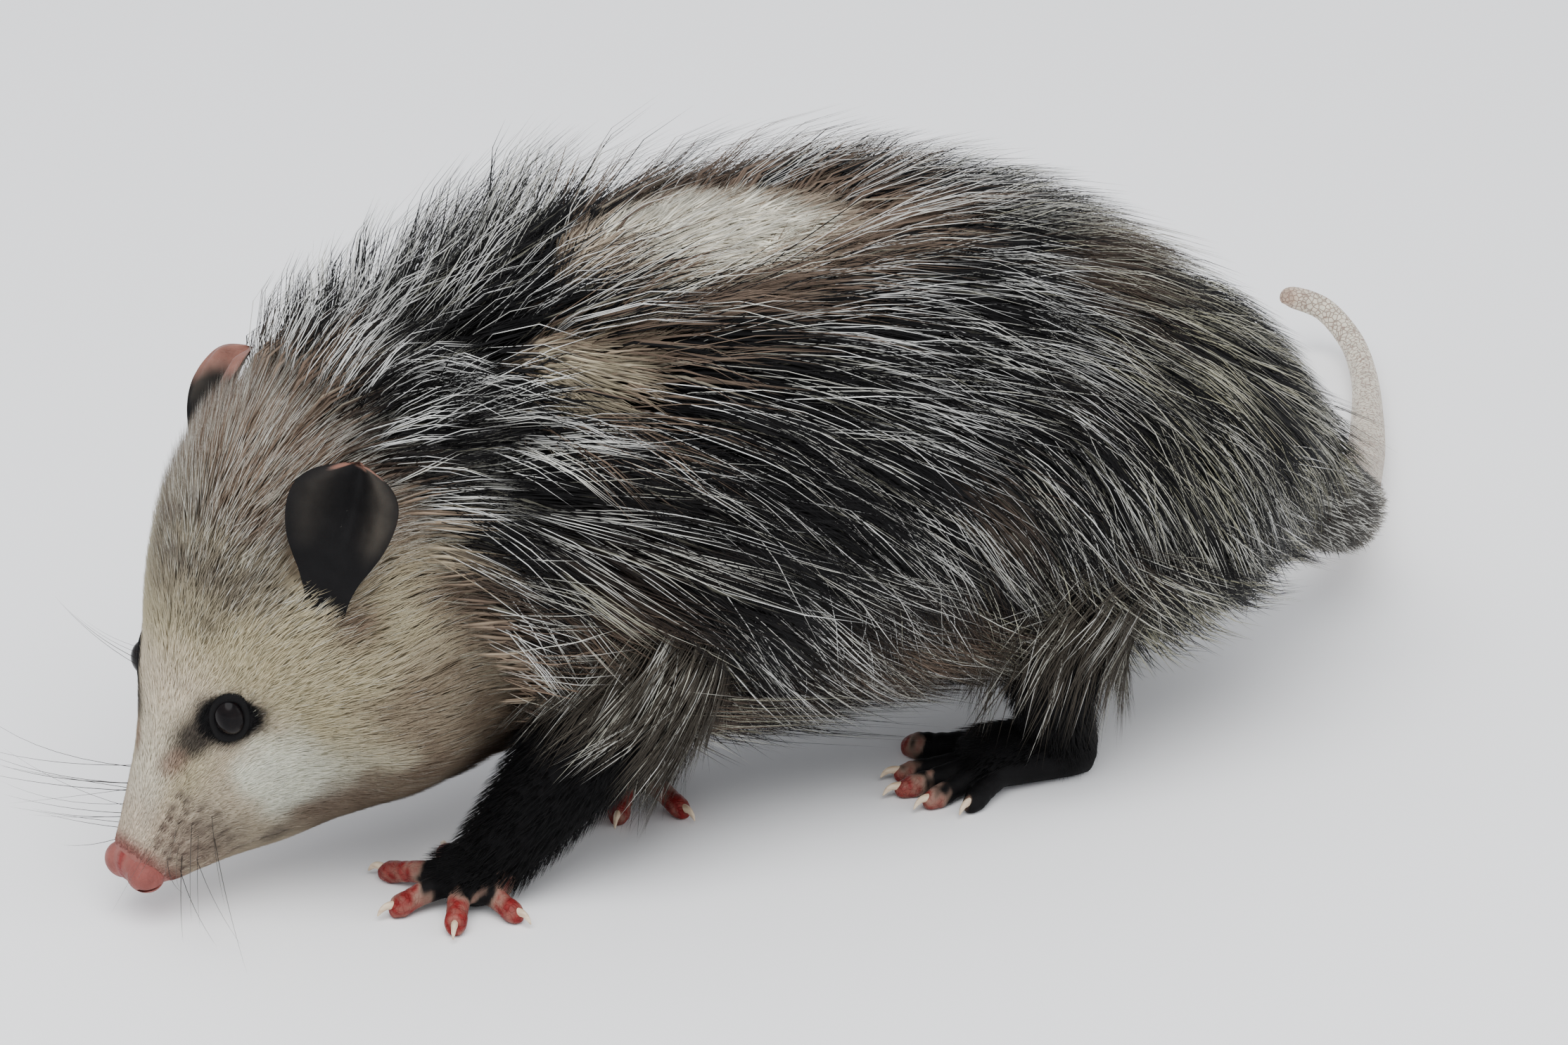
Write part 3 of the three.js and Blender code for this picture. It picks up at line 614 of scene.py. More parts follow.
def nose_form():
    """The bare nose pad, with its nostrils and its groove cut out."""
    parts = [
        egg(on_head(3, 0, 0.3), (5.6, 7.8, 7.2), (HEAD_BACK, HEAD_SIDE, HEAD_TOP)),
        egg(on_head(1.7, 4.8, 0.9), (5.0, 5.2, 5.5), (HEAD_BACK, HEAD_SIDE, HEAD_TOP)),
        egg(on_head(1.7, -4.8, 0.9), (5.0, 5.2, 5.5), (HEAD_BACK, HEAD_SIDE, HEAD_TOP)),
    ]
    nose = remeshed(merged("nose", parts), NOSE_VOXEL, rounds=4)
    cuts = []
    for hand in (LEFT, RIGHT):
        path = [
            (*on_head(1.6, hand * 9.6, -1.6), 0.5),
            (*on_head(-0.6, hand * 8.4, 0.2), 0.9),
            (*on_head(-1.6, hand * 6.2, 1.2), 1.5),
            (*on_head(1.6, hand * 4.4, 1.4), 1.3),
        ]
        cuts.append(mesh_object("nostril", *grid_mesh(tube_rings(path, steps=14, sides=14))))
    groove = [
        (*on_head(-2.6, 0, 8), 0.5), (*on_head(-3.0, 0, 1), 0.75), (*on_head(-2.0, 0, -8), 0.8),
    ]
    cuts.append(mesh_object("groove", *grid_mesh(tube_rings(groove, steps=12, sides=10))))
    nose = joined(nose, cuts, "DIFFERENCE")
    points = vertices(nose)
    marks = no_marks(len(points))
    marks["pink"][:] = 1
    marks["bare"][:] = 1
    inside = np.minimum(*[far_from(points, [on_head(1.6, hand * 4.4, 1.4)]) for hand in (LEFT, RIGHT)])
    marks["black"] = 0.95 * bump(inside, 0, 2.2)
    off = points - NOSE
    marks["red"] = 0.8 * bump(off @ HEAD_SIDE, 0, 1.3) + 0.5 * smooth(-(off @ HEAD_TOP), 1, 6)
    deepen(marks, "red", 0.3 * smooth(off @ HEAD_SIDE, 1, 4))
    deepen(marks, "red", 0.8 * bump(inside, 2.5, 2.0))
    remember(points, marks)
    return nose


def lid_form(hand):
    """The black rim of an eye, drawn out a little to a point at its front and back corners."""
    middle, out, back, round_ = EYES[hand]
    i, j = np.meshgrid(circle(72), circle(16), indexing="ij")
    reach = 5.25 + 1.15 * np.cos(j)
    x = 1.06 * reach * np.cos(i) * (1 + 0.10 * np.abs(np.cos(i)) ** 6)
    y = 0.93 * reach * np.sin(i)
    z = 1.95 + 1.05 * np.sin(j) * (1 - 0.25 * np.abs(np.cos(i)))
    rings = middle + x[..., None] * back + y[..., None] * round_ + z[..., None] * out
    count, around = rings.shape[:2]
    a, b = np.meshgrid(np.arange(count), np.arange(around), indexing="ij")
    a2, b2 = (a + 1) % count, (b + 1) % around
    quads = np.stack([a * around + b, a * around + b2, a2 * around + b2, a2 * around + b], -1)
    points = rings.reshape(-1, 3)
    marks = no_marks(len(points))
    marks["black"][:] = 1
    marks["bare"][:] = 1
    remember(points, marks)
    return mesh_object("lid", points, quads.reshape(-1, 4).tolist())


# half width and roll of an ear from its root to its tip
EAR_WIDTHS = [0.36, 0.42, 0.55, 0.74, 0.9, 0.99, 1, 0.9, 0.66, 0.22]
EAR_ROLLS = [80, 84, 86, 80, 70, 60, 52, 46, 42, 40]


def ear_form(name):
    """An ear is rolled up at its root and opens into a thin cup."""
    plan = EARS[name]
    hand = math.copysign(1, plan["angle"])
    lean, back = plan["lean"], plan["back"]
    axis = unit(np.array([math.sin(back), -hand * math.sin(lean), math.cos(lean) * math.cos(back)]))
    facing = np.array([-math.cos(plan["turn"]), -hand * math.sin(plan["turn"]), 0])
    facing = unit(facing - axis * (facing @ axis))
    across = np.cross(axis, facing)
    root = trunk(plan["t"], plan["angle"]) - axis * EAR_SINK
    share = np.linspace(-1, 1, EAR_POINTS)
    both = np.concatenate([share, share[::-1]])
    rings = []
    layers = {key: [] for key in ("red", "pink", "brown", "dusk", "black")}
    for k in range(EAR_RINGS + 1):
        v = k / EAR_RINGS
        row = v * (len(EAR_WIDTHS) - 1)
        fan = rad(float(spline(EAR_ROLLS, row)))
        radius = plan["wide"] * float(spline(EAR_WIDTHS, row)) / math.sin(fan)
        filled = min(1, max(0, 1.45 - v / 0.38))
        rise = plan["long"] * math.sin(v * math.pi / 2.15) ** 1.05
        spine = root + axis * rise + facing * (-6 * v * v - 4)
        s, c = np.sin(fan * share), np.cos(fan * share)
        # two full lobes stand beside a deep valley that runs down the cup
        open_part = smooth(v, 0.22, 0.42) * (1 - 0.75 * smooth(v, 0.8, 1))
        lobes = 3.4 * bump(share, -0.58 * hand, 0.36) + 2.6 * bump(share, 0.62 * hand, 0.26)
        fold = (lobes - 1.6 * bump(share, 0.12 * hand, 0.16)) * open_part
        ripple = 0.45 * np.sin(11 * v + 3.0 * share) * smooth(v, 0.3, 0.7) * np.abs(share)
        taper = 0.45 + 0.55 * (1 - np.abs(share) ** 4)
        thin_r = radius - EAR_THICK * taper * (1 - 0.4 * smooth(v, 0.8, 1))
        deep, thin_deep = radius * (1 - c) + fold + ripple, radius - thin_r * c + fold + ripple
        outer = spine + np.outer(radius * s, across) + np.outer(deep, facing)
        inner = spine + np.outer(thin_r * s, across) + np.outer(thin_deep, facing)
        # near its root the roll is filled up to the straight line between its edges
        level = radius * (1 - math.cos(fan)) + EAR_THICK
        chord = spine + np.outer(radius * s, across) + level * facing
        inner = inner + (chord - inner) * filled
        rings.append(np.concatenate([outer, inner[::-1]]))
        rim = smooth(v + 0.04 * np.sin(7 * both), 0.93, 0.985)
        if hand < 0:
            rim = np.maximum(rim, smooth(v + 0.06 * np.sin(5 * both), 0.5, 0.72))
        # painted sheen on the two lobes of the cup: there the black thins to show the dusky ground
        painted_sheen = 0.05 * bump(both, -0.6 * hand, 0.3) + 0.14 * bump(both, 0.68 * hand, 0.26)
        painted_sheen = painted_sheen * smooth(v, 0.3, 0.5)
        layers["red"].append((0.35 if hand > 0 else 0.15) * rim)
        layers["pink"].append((0.06 if hand > 0 else 0.5) * rim)
        layers["brown"].append(0.95 * rim)
        layers["dusk"].append(np.full(len(both), 0.85))
        layers["black"].append((1 - rim) * (1 - painted_sheen))
    points, faces = grid_mesh(np.array(rings))
    marks = no_marks(len(points))
    for key, value in layers.items():
        flat = np.concatenate(value)
        marks[key] = np.concatenate([flat, [flat[0], flat[-1]]])
    marks["bare"][:] = 1
    remember(points, marks)
    ear_points.append(points)
    return mesh_object(name, points, faces)


def leg_form(name):
    rings = tube_rings(LEGS[name], LEG_RINGS, LEG_SIDES, grow=-1.8)
    rings[..., 2] = np.maximum(rings[..., 2], 1.5)
    points, faces = grid_mesh(rings)
    marks = no_marks(len(points))
    marks["black"][:] = 1
    remember(points, marks)
    return mesh_object(name, points, faces)


def toe_path(toe, sole):
    """A toe's course from the middle of the sole to its tip, with its radius."""
    x, y, radius = toe
    from_x, from_y = sole[2][:2]
    rows = [
        (0, 6.2, 1.15), (0.45, radius + 2.4, 1.1), (0.72, radius + 0.9, 1),
        (0.92, radius - 0.5, 1), (1, radius - 0.5, 0.45),
    ]
    return [(from_x + (x - from_x) * s, from_y + (y - from_y) * s, z, k * radius) for s, z, k in rows]


def foot_form(name):
    """A flat sole with its toes, which have knuckles and fine ridges."""
    plan = FEET[name]
    pad = [(x, y, z, wide, z + 0.9) for x, y, z, wide in plan["sole"]]
    parts = [grid_mesh(tube_rings(pad, steps=24, sides=28, grow=-0.4))]
    share = np.linspace(0, 1, TOE_RINGS + 1)
    ridges = 0.06 * np.sin(share * 58) * smooth(share, 0.3, 0.5)
    wave = 1 + ridges + 0.12 * bump(share, 0.93, 0.09) + 0.07 * bump(share, 0.62, 0.08)
    wave -= 0.08 * bump(share, 0.79, 0.06)
    for toe in plan["toes"]:
        path = toe_path(toe, plan["sole"])
        rings = tube_rings(path, TOE_RINGS, TOE_SIDES, grow=-0.2, wave=wave)
        parts.append(grid_mesh(rings))
    foot = remeshed(merged(name, parts), FOOT_VOXEL, rounds=2)
    points = vertices(foot)
    points[:, 2] = np.maximum(points[:, 2], 0.05)
    foot.data.vertices.foreach_set("co", placed(points).astype(np.float32).ravel())
    marks = no_marks(len(points))
    centre = np.array(plan["sole"][2][:2])
    reach = np.linalg.norm(points[:, :2] - centre, axis=1)
    far = np.array([np.linalg.norm(np.array(toe[:2]) - centre) for toe in plan["toes"]]).mean()
    blotchy = reach / far + 0.06 * drift(points, 5, 41)
    # the pink covers most of each fore toe, and only the tips of the hind toes
    inner = smooth(blotchy, 0.46, 0.66) if "fore" in name else smooth(blotchy, 0.84, 1.0)
    marks["red"] = inner * np.clip(0.85 + 0.25 * drift(points, 3.5, 42), 0.5, 1)
    marks["pink"] = inner * np.clip(0.45 + 0.35 * drift(points, 6, 43), 0, 1)
    marks["brown"] = 0.5 * inner
    marks["black"] = 1 - inner
    marks["bare"] = smooth(reach / far, 0.3, 0.45)
    remember(points, marks)
    return foot


def tail_form():
    """The tail: black and furred at its root, then pale and scaly."""
    points, faces = grid_mesh(tube_rings(TAIL, TAIL_RINGS, TAIL_SIDES, grow=-0.35))
    share = np.linspace(0, 1, TAIL_RINGS + 1)
    along = np.concatenate([np.repeat(share, TAIL_SIDES), [0, 1]])
    edge = along + 0.02 * drift(points, 14, 31)
    marks = no_marks(len(points))
    marks["black"] = 1 - smooth(edge, 0.17, 0.25)
    marks["pink"] = 0.14 + 0.36 * smooth(along, 0.85, 1)
    marks["white"] = 0.5 * (1 - smooth(along, 0.85, 1))
    marks["bare"] = smooth(edge, 0.17, 0.25)
    marks["scaly"] = smooth(edge, 0.18, 0.27)
    marks["dusk"] = 0.45 * (1 - smooth(along, 0.25, 0.6)) * smooth(edge, 0.18, 0.25)
    remember(points, marks)
    return mesh_object("tail", points, faces)


skin = joined(trunk_form(), [
    nose_form(), lid_form(LEFT), lid_form(RIGHT), ear_form("left_ear"), ear_form("right_ear"),
    *[leg_form(name) for name in LEGS], *[foot_form(name) for name in FEET], tail_form(),
])


def share_marks(made):
    """Each point of the joined skin takes the markings of the nearest point that it was made from."""
    points = np.concatenate([p for p, _ in sources])
    values = np.concatenate([m for _, m in sources])
    tree = kdtree.KDTree(len(points))
    for k, p in enumerate(points):
        tree.insert(p, k)
    tree.balance()
    nearest = np.array([tree.find(p)[1] for p in vertices(made)])
    for k, name in enumerate(MARKS):
        layer = made.data.attributes.new(name, "FLOAT", "POINT")
        layer.data.foreach_set("value", values[nearest, k].astype(np.float32))


share_marks(skin)


# Materials. One group of nodes gives the colour of the markings to the skin and to every hair.
COLOURS = {
    "cream": (0.66, 0.57, 0.43),
    "white": (0.80, 0.80, 0.68),
    "olive": (0.52, 0.455, 0.30),
    "dusk": (0.13, 0.108, 0.086),
    "brown": (0.19, 0.13, 0.092),
    "black": (0.0045, 0.0042, 0.0045),
    "pink": (0.225, 0.088, 0.074),
    "red": (0.175, 0.015, 0.015),
}


class Shader:
    """Short ways to add and link nodes."""

    def __init__(self, tree):
        self.tree = tree

    def node(self, kind, **values):
        made = self.tree.nodes.new(kind)
        for key, value in values.items():
            setattr(made, key, value)
        return made

    def link(self, a, b):
        self.tree.links.new(a, b)

    def put(self, socket, value):
        if hasattr(value, "is_output"):
            self.link(value, socket)
        else:
            socket.default_value = value

    def attribute(self, name):
        return self.node("ShaderNodeAttribute", attribute_name=name).outputs["Fac"]

    def maths(self, operation, a, b=0.0, clamp=False):
        made = self.node("ShaderNodeMath", operation=operation, use_clamp=clamp)
        self.put(made.inputs[0], a)
        self.put(made.inputs[1], b)
        return made.outputs[0]

    def mix(self, share, a, b):
        made = self.node("ShaderNodeMix", data_type="RGBA")
        self.put(made.inputs[0], share)
        self.put(made.inputs[6], a if hasattr(a, "is_output") else (*a, 1))
        self.put(made.inputs[7], b if hasattr(b, "is_output") else (*b, 1))
        return made.outputs[2]

    def times(self, colour, share):
        made = self.node("ShaderNodeMix", data_type="RGBA", blend_type="MULTIPLY")
        made.inputs[0].default_value = 1
        self.link(colour, made.inputs[6])
        self.link(share, made.inputs[7])
        return made.outputs[2]

    def bumps(self, height, strength, distance):
        made = self.node("ShaderNodeBump")
        made.inputs["Strength"].default_value = strength
        made.inputs["Distance"].default_value = distance
        self.link(height, made.inputs["Height"])
        return made.outputs["Normal"]

    def noise(self, scale, detail, stretch=None):
        made = self.node("ShaderNodeTexNoise")
        made.inputs["Scale"].default_value = scale
        made.inputs["Detail"].default_value = detail
        place = self.node("ShaderNodeTexCoord").outputs["Object"]
        if stretch:
            mapping = self.node("ShaderNodeMapping")
            mapping.inputs["Scale"].default_value = stretch
            self.link(place, mapping.inputs["Vector"])
            place = mapping.outputs["Vector"]
        self.link(place, made.inputs["Vector"])
        return made.outputs["Fac"]

    def remap(self, value, low, high, to_low=0.0, to_high=1.0):
        made = self.node("ShaderNodeMapRange")
        self.put(made.inputs["Value"], value)
        made.inputs["From Min"].default_value = low
        made.inputs["From Max"].default_value = high
        made.inputs["To Min"].default_value = to_low
        made.inputs["To Max"].default_value = to_high
        return made.outputs["Result"]


def markings_group():
    tree = bpy.data.node_groups.new("Markings", "ShaderNodeTree")
    tree.interface.new_socket("Colour", in_out="OUTPUT", socket_type="NodeSocketColor")
    s = Shader(tree)
    patchy = s.noise(95, 5)
    darker = [0.86 * c for c in COLOURS["cream"]]
    colour = s.mix(s.remap(patchy, 0.3, 0.7), COLOURS["cream"], darker)
    for name in MARKS[:7]:
        share = s.attribute(name)
        if name in ("dusk", "brown", "olive"):
            share = s.maths("MULTIPLY", share, s.remap(patchy, 0.25, 0.75, 0.86, 1.18), True)
        colour = s.mix(share, colour, COLOURS[name])
    s.link(colour, s.node("NodeGroupOutput").inputs["Colour"])
    return tree


MARKINGS = markings_group()


def new_material(name):
    material = bpy.data.materials.new(name)
    material.use_nodes = True
    s = Shader(material.node_tree)
    return material, s, material.node_tree.nodes["Principled BSDF"]


def group_colour(s):
    made = s.node("ShaderNodeGroup")
    made.node_tree = MARKINGS
    return made.outputs["Colour"]


def skin_material():
    """Skin: matt where hair covers it, moister where bare, with seams between the scales of the tail."""
    material, s, shader = new_material("skin")
    colour = group_colour(s)
    bare, scaly, red = s.attribute("bare"), s.attribute("scaly"), s.attribute("red")
    mottle = s.remap(s.noise(260, 6), 0.3, 0.7, 0.78, 1.12)
    tinted = s.times(colour, mottle)
    cells = s.node("ShaderNodeTexVoronoi", feature="DISTANCE_TO_EDGE")
    cells.inputs["Scale"].default_value = 620
    s.link(s.node("ShaderNodeTexCoord").outputs["Object"], cells.inputs["Vector"])
    seams = s.remap(cells.outputs["Distance"], 0.0, 0.12)
    # darker along the sunken seams between the tail's scales
    seam_darkening = s.maths("MULTIPLY", scaly, s.maths("SUBTRACT", 1.0, seams, True))
    s.link(s.mix(seam_darkening, tinted, (0.22, 0.15, 0.12)), shader.inputs["Base Color"])
    gloss = s.maths("MULTIPLY", bare, s.remap(s.attribute("black"), 0, 1, 1, 0.3))
    s.link(s.remap(gloss, 0, 1, 0.85, 0.42), shader.inputs["Roughness"])
    shader.inputs["Specular IOR Level"].default_value = 0.1
    shader.inputs["Subsurface Weight"].default_value = 0.12
    shader.inputs["Subsurface Radius"].default_value = (1.0, 0.35, 0.25)
    shader.inputs["Subsurface Scale"].default_value = 0.0015
    grain = s.noise(1400, 5)
    wrinkle = s.noise(420, 4)
    scales = s.maths("MULTIPLY", seams, scaly)
    height = s.maths("ADD", s.maths("MULTIPLY", grain, 0.35), s.maths("MULTIPLY", wrinkle, 0.4))
    height = s.maths("ADD", height, s.maths("MULTIPLY", scales, 0.9))
    height = s.maths("ADD", height, s.maths("MULTIPLY", s.maths("MULTIPLY", seams, red), 0.8))
    s.link(s.bumps(height, 0.55, 0.0006), shader.inputs["Normal"])
    return material


def coat_material():
    """Hair: the markings' colour at its root, frosted toward its tip."""
    material, s, shader = new_material("coat")
    colour = group_colour(s)
    along, frost, shade = s.attribute("along"), s.attribute("frost"), s.attribute("shade")
    toned = s.times(colour, s.remap(shade, 0, 1, 0.58, 1.36))
    pale = s.mix(s.attribute("warm"), (0.74, 0.74, 0.71), (0.42, 0.40, 0.27))
    tipped = s.maths("MULTIPLY", frost, s.remap(along, 0.12, 0.45), True)
    s.link(s.mix(tipped, toned, pale), shader.inputs["Base Color"])
    shader.inputs["Roughness"].default_value = 0.6
    shader.inputs["Specular IOR Level"].default_value = 0.14
    return material


def eye_material():
    material, s, shader = new_material("eye")
    cloud = s.remap(s.noise(300, 3), 0.35, 0.65)
    tone = s.mix(cloud, (0.0025, 0.002, 0.0025), (0.007, 0.005, 0.005))
    s.link(tone, shader.inputs["Base Color"])
    s.link(s.remap(s.noise(900, 2), 0.3, 0.7, 0.14, 0.24), shader.inputs["Roughness"])
    shader.inputs["Specular IOR Level"].default_value = 0.09
    return material


def claw_material():
    material, s, shader = new_material("claw")
    grow = s.noise(220, 3, stretch=(1, 1, 5))
    tone = s.mix(s.remap(grow, 0.3, 0.7), (0.50, 0.36, 0.24), (0.70, 0.58, 0.42))
    s.link(tone, shader.inputs["Base Color"])
    s.link(s.remap(grow, 0.3, 0.7, 0.3, 0.45), shader.inputs["Roughness"])
    s.link(s.bumps(grow, 0.3, 0.0002), shader.inputs["Normal"])
    return material


def whisker_material():
    material, s, shader = new_material("whisker")
    tone = s.mix(s.remap(s.attribute("along"), 0.3, 0.9), (0.02, 0.017, 0.015), (0.10, 0.095, 0.09))
    s.link(tone, shader.inputs["Base Color"])
    shader.inputs["Roughness"].default_value = 0.4
    return material


skin.data.materials.clear()
finished(skin, skin_material())
COAT, WHISKER = coat_material(), whisker_material()


# Hairs. Each is a closed blade with three sides, laid along a curve from its root to its tip.
def blade(name, stops):
    """stops: how far along the blade, and how wide it is there, up to its point at 1."""
    points, faces = [], []
    turns = [k * 2 * math.pi / 3 for k in range(3)]
    for along, wide in stops:
        points += [(wide * math.cos(turn), 0.5 * wide * math.sin(turn), along) for turn in turns]
    points.append((0, 0, 1))
    rows = len(stops)
    for i in range(rows - 1):
        for k in range(3):
            a, b = 3 * i + k, 3 * i + (k + 1) % 3
            faces.append((a, b, b + 3, a + 3))
    for k in range(3):
        faces.append((3 * (rows - 1) + k, 3 * (rows - 1) + (k + 1) % 3, 3 * rows))
    faces.append((2, 1, 0))
    mesh = bpy.data.meshes.new(name)
    mesh.from_pydata([(0, 0, 0)] * len(points), [], faces)
    for key, column in (("across", 0), ("rise", 1), ("along", 2)):
        layer = mesh.attributes.new(key, "FLOAT", "POINT")
        layer.data.foreach_set("value", [p[column] for p in points])
    made = bpy.data.objects.new(name, mesh)
    bpy.context.collection.objects.link(made)
    return made


BLADES = {
    "spike": blade("spike_blade", [(0, 1)]),
    "short": blade("short_blade", [(0, 0.85), (0.5, 1)]),
    "long": blade("long_blade", [(0, 0.8), (0.35, 1), (0.7, 0.85)]),
    "whisker": blade("whisker_blade", [
        (0, 1), (0.12, 0.95), (0.25, 0.88), (0.38, 0.8),
        (0.5, 0.7), (0.62, 0.6), (0.75, 0.45), (0.88, 0.3),
    ]),
}
BAKE_PATCH = 0.003  # the size of a hair's own patch on the unwrap
UNEVEN = 0.25  # how far the widths of neighbouring hairs differ


def strand_tree():
    """Lays a blade on every root, bent along the hair's curve, with its patch on the unwrap."""
    tree = bpy.data.node_groups.new("Strands", "GeometryNodeTree")
    for label, kind in (
        ("Roots", "NodeSocketGeometry"), ("Blade", "NodeSocketObject"), ("Seed", "NodeSocketInt"),
        ("Uneven", "NodeSocketFloat"), ("Patch", "NodeSocketFloat"), ("Material", "NodeSocketMaterial"),
    ):
        tree.interface.new_socket(label, in_out="INPUT", socket_type=kind)
    tree.interface.new_socket("Coat", in_out="OUTPUT", socket_type="NodeSocketGeometry")
    s = Shader(tree)
    given = s.node("NodeGroupInput").outputs

    def named(name, kind="FLOAT"):
        made = s.node("GeometryNodeInputNamedAttribute", data_type=kind)
        made.inputs["Name"].default_value = name
        return made.outputs["Attribute"]

    def vector(operation, a, b=None, scale=None):
        made = s.node("ShaderNodeVectorMath", operation=operation)
        s.put(made.inputs[0], a)
        if b is not None:
            s.put(made.inputs[1], b)
        if scale is not None:
            s.put(made.inputs["Scale"], scale)
        return made.outputs[0]

    def between(share, a, b):
        made = s.node("ShaderNodeMix", data_type="VECTOR")
        s.put(made.inputs[0], share)
        s.put(made.inputs[4], a)
        s.put(made.inputs[5], b)
        return made.outputs[1]

    shape = s.node("GeometryNodeObjectInfo")
    s.link(given["Blade"], shape.inputs["Object"])
    spread = s.node("GeometryNodeInstanceOnPoints")
    s.link(given["Roots"], spread.inputs["Points"])
    s.link(shape.outputs["Geometry"], spread.inputs["Instance"])
    uneven = s.node("FunctionNodeRandomValue", data_type="FLOAT")
    s.link(s.maths("SUBTRACT", 1.0, given["Uneven"]), uneven.inputs[2])
    s.link(s.maths("ADD", 1.0, given["Uneven"]), uneven.inputs[3])
    s.link(given["Seed"], uneven.inputs["Seed"])
    varied = s.node("GeometryNodeStoreNamedAttribute", data_type="FLOAT", domain="INSTANCE")
    varied.inputs["Name"].default_value = "vary"
    s.link(spread.outputs["Instances"], varied.inputs["Geometry"])
    s.link(uneven.outputs[1], varied.inputs["Value"])
    real = s.node("GeometryNodeRealizeInstances")
    s.link(varied.outputs["Geometry"], real.inputs["Geometry"])
    along = named("along")
    near = between(along, named("root", "FLOAT_VECTOR"), named("middle", "FLOAT_VECTOR"))
    far = between(along, named("middle", "FLOAT_VECTOR"), named("tip", "FLOAT_VECTOR"))
    place = between(along, near, far)
    heading = vector("NORMALIZE", vector("SUBTRACT", far, near))
    side = vector("NORMALIZE", vector("CROSS_PRODUCT", heading, named("out", "FLOAT_VECTOR")))
    lift = vector("CROSS_PRODUCT", side, heading)
    wide = s.maths("MULTIPLY", named("wide"), named("vary"))
    place = vector("ADD", place, vector("SCALE", side, scale=s.maths("MULTIPLY", named("across"), wide)))
    place = vector("ADD", place, vector("SCALE", lift, scale=s.maths("MULTIPLY", named("rise"), wide)))
    laid = s.node("GeometryNodeSetPosition")
    s.link(real.outputs["Geometry"], laid.inputs["Geometry"])
    s.link(place, laid.inputs["Position"])
    patch = s.node("ShaderNodeCombineXYZ")
    half = s.maths("MULTIPLY", named("across"), 0.5)
    s.link(s.maths("MULTIPLY", half, given["Patch"]), patch.inputs[0])
    s.link(s.maths("MULTIPLY", along, given["Patch"]), patch.inputs[1])
    mapped = s.node("GeometryNodeStoreNamedAttribute", data_type="FLOAT2", domain="CORNER")
    mapped.inputs["Name"].default_value = "OFBake"
    s.link(laid.outputs["Geometry"], mapped.inputs["Geometry"])
    s.link(vector("ADD", named("place", "FLOAT_VECTOR"), patch.outputs[0]), mapped.inputs["Value"])
    shaded = s.node("GeometryNodeSetShadeSmooth")
    s.link(mapped.outputs["Geometry"], shaded.inputs["Geometry"])
    clad = s.node("GeometryNodeSetMaterial")
    s.link(shaded.outputs["Geometry"], clad.inputs["Geometry"])
    s.link(given["Material"], clad.inputs["Material"])
    s.link(clad.outputs["Geometry"], s.node("NodeGroupOutput").inputs["Coat"])
    return tree


STRANDS = strand_tree()
SOCKETS = {item.name: item.identifier for item in STRANDS.interface.items_tree if item.in_out == "INPUT"}


def grown(name, hairs, kind, material, seed):
    """A piece of the coat from its hairs' roots, curves, widths and markings."""
    count = len(hairs["root"])
    mesh = bpy.data.meshes.new(name)
    mesh.vertices.add(count)
    mesh.vertices.foreach_set("co", placed(hairs["root"]).astype(np.float32).ravel())
    for key in ("root", "middle", "tip", "out", "place"):
        value = hairs[key] if key in ("out", "place") else placed(hairs[key])
        layer = mesh.attributes.new(key, "FLOAT_VECTOR", "POINT")
        layer.data.foreach_set("vector", value.astype(np.float32).ravel())
    for key in ("wide", "frost", "shade", "warm", *MARKS):
        value = hairs[key] / 1000 if key == "wide" else hairs[key]
        layer = mesh.attributes.new(key, "FLOAT", "POINT")
        layer.data.foreach_set("value", np.broadcast_to(value, count).astype(np.float32))
    roots = bpy.data.objects.new(name + "_roots", mesh)
    bpy.context.collection.objects.link(roots)
    change = roots.modifiers.new("strands", "NODES")
    change.node_group = STRANDS
    change[SOCKETS["Blade"]] = BLADES[kind]
    change[SOCKETS["Seed"]] = seed
    change[SOCKETS["Uneven"]] = UNEVEN
    change[SOCKETS["Patch"]] = BAKE_PATCH
    change[SOCKETS["Material"]] = material
    deps = bpy.context.evaluated_depsgraph_get()
    made = bpy.data.objects.new(name, bpy.data.meshes.new_from_object(roots.evaluated_get(deps)))
    made.data.name = name
    discard(roots)
    for layer in list(made.data.attributes):
        if layer.name in ("root", "middle", "tip", "out", "place", "wide", "vary", "across", "rise"):
            made.data.attributes.remove(layer)
    bpy.context.collection.objects.link(made)
    return made


def picked(hairs, keep):
    return {key: value[keep] for key, value in hairs.items()}


def unwrapped(x, y):
    """The hairs' places on the unwrap."""
    return np.stack([x, y, 0 * x], -1)


def clumped(hairs, size, pull, seed, shared=()):
    """Draws the tips of neighbouring hairs together into tufts, which share some of their looks."""
    rng = np.random.default_rng(seed)
    count = len(hairs["root"])
    centres = rng.choice(count, max(1, count // size), replace=False)
    tree = kdtree.KDTree(len(centres))
    for c in centres:
        tree.insert(hairs["root"][c], int(c))
    tree.balance()
    own = np.array([tree.find(p)[1] for p in hairs["root"]])
    share = pull * rng.uniform(0.5, 1.1, count)[:, None]
    for key, part in (("tip", 1.0), ("middle", 0.45)):
        off = hairs[key][own] - hairs[key]
        near = np.exp(-(np.linalg.norm(hairs["root"][own] - hairs["root"], axis=1) / 14) ** 2)[:, None]
        hairs[key] = hairs[key] + off * share * part * near
    follows = rng.uniform(size=count) < 0.55
    for key in shared:
        hairs[key] = np.where(follows, hairs[key][own], hairs[key])
    return hairs


def trunk_roots(count, low, high, seed, weight=None):
    """Places spread evenly over the trunk between two rows, or by weight along it."""
    rng = np.random.default_rng(seed)
    tries = count * 4
    t = rng.uniform(low, high, tries)
    angle = rng.uniform(-math.pi, math.pi, tries)
    _, _, _, per_row, per_turn = trunk_frame(t, angle)
    area = per_row * per_turn
    if weight is not None:
        area = area * weight(t)
    keep = np.flatnonzero(rng.uniform(0, np.percentile(area, 99.5), tries) < area)[:count]
    return t[keep], angle[keep], rng


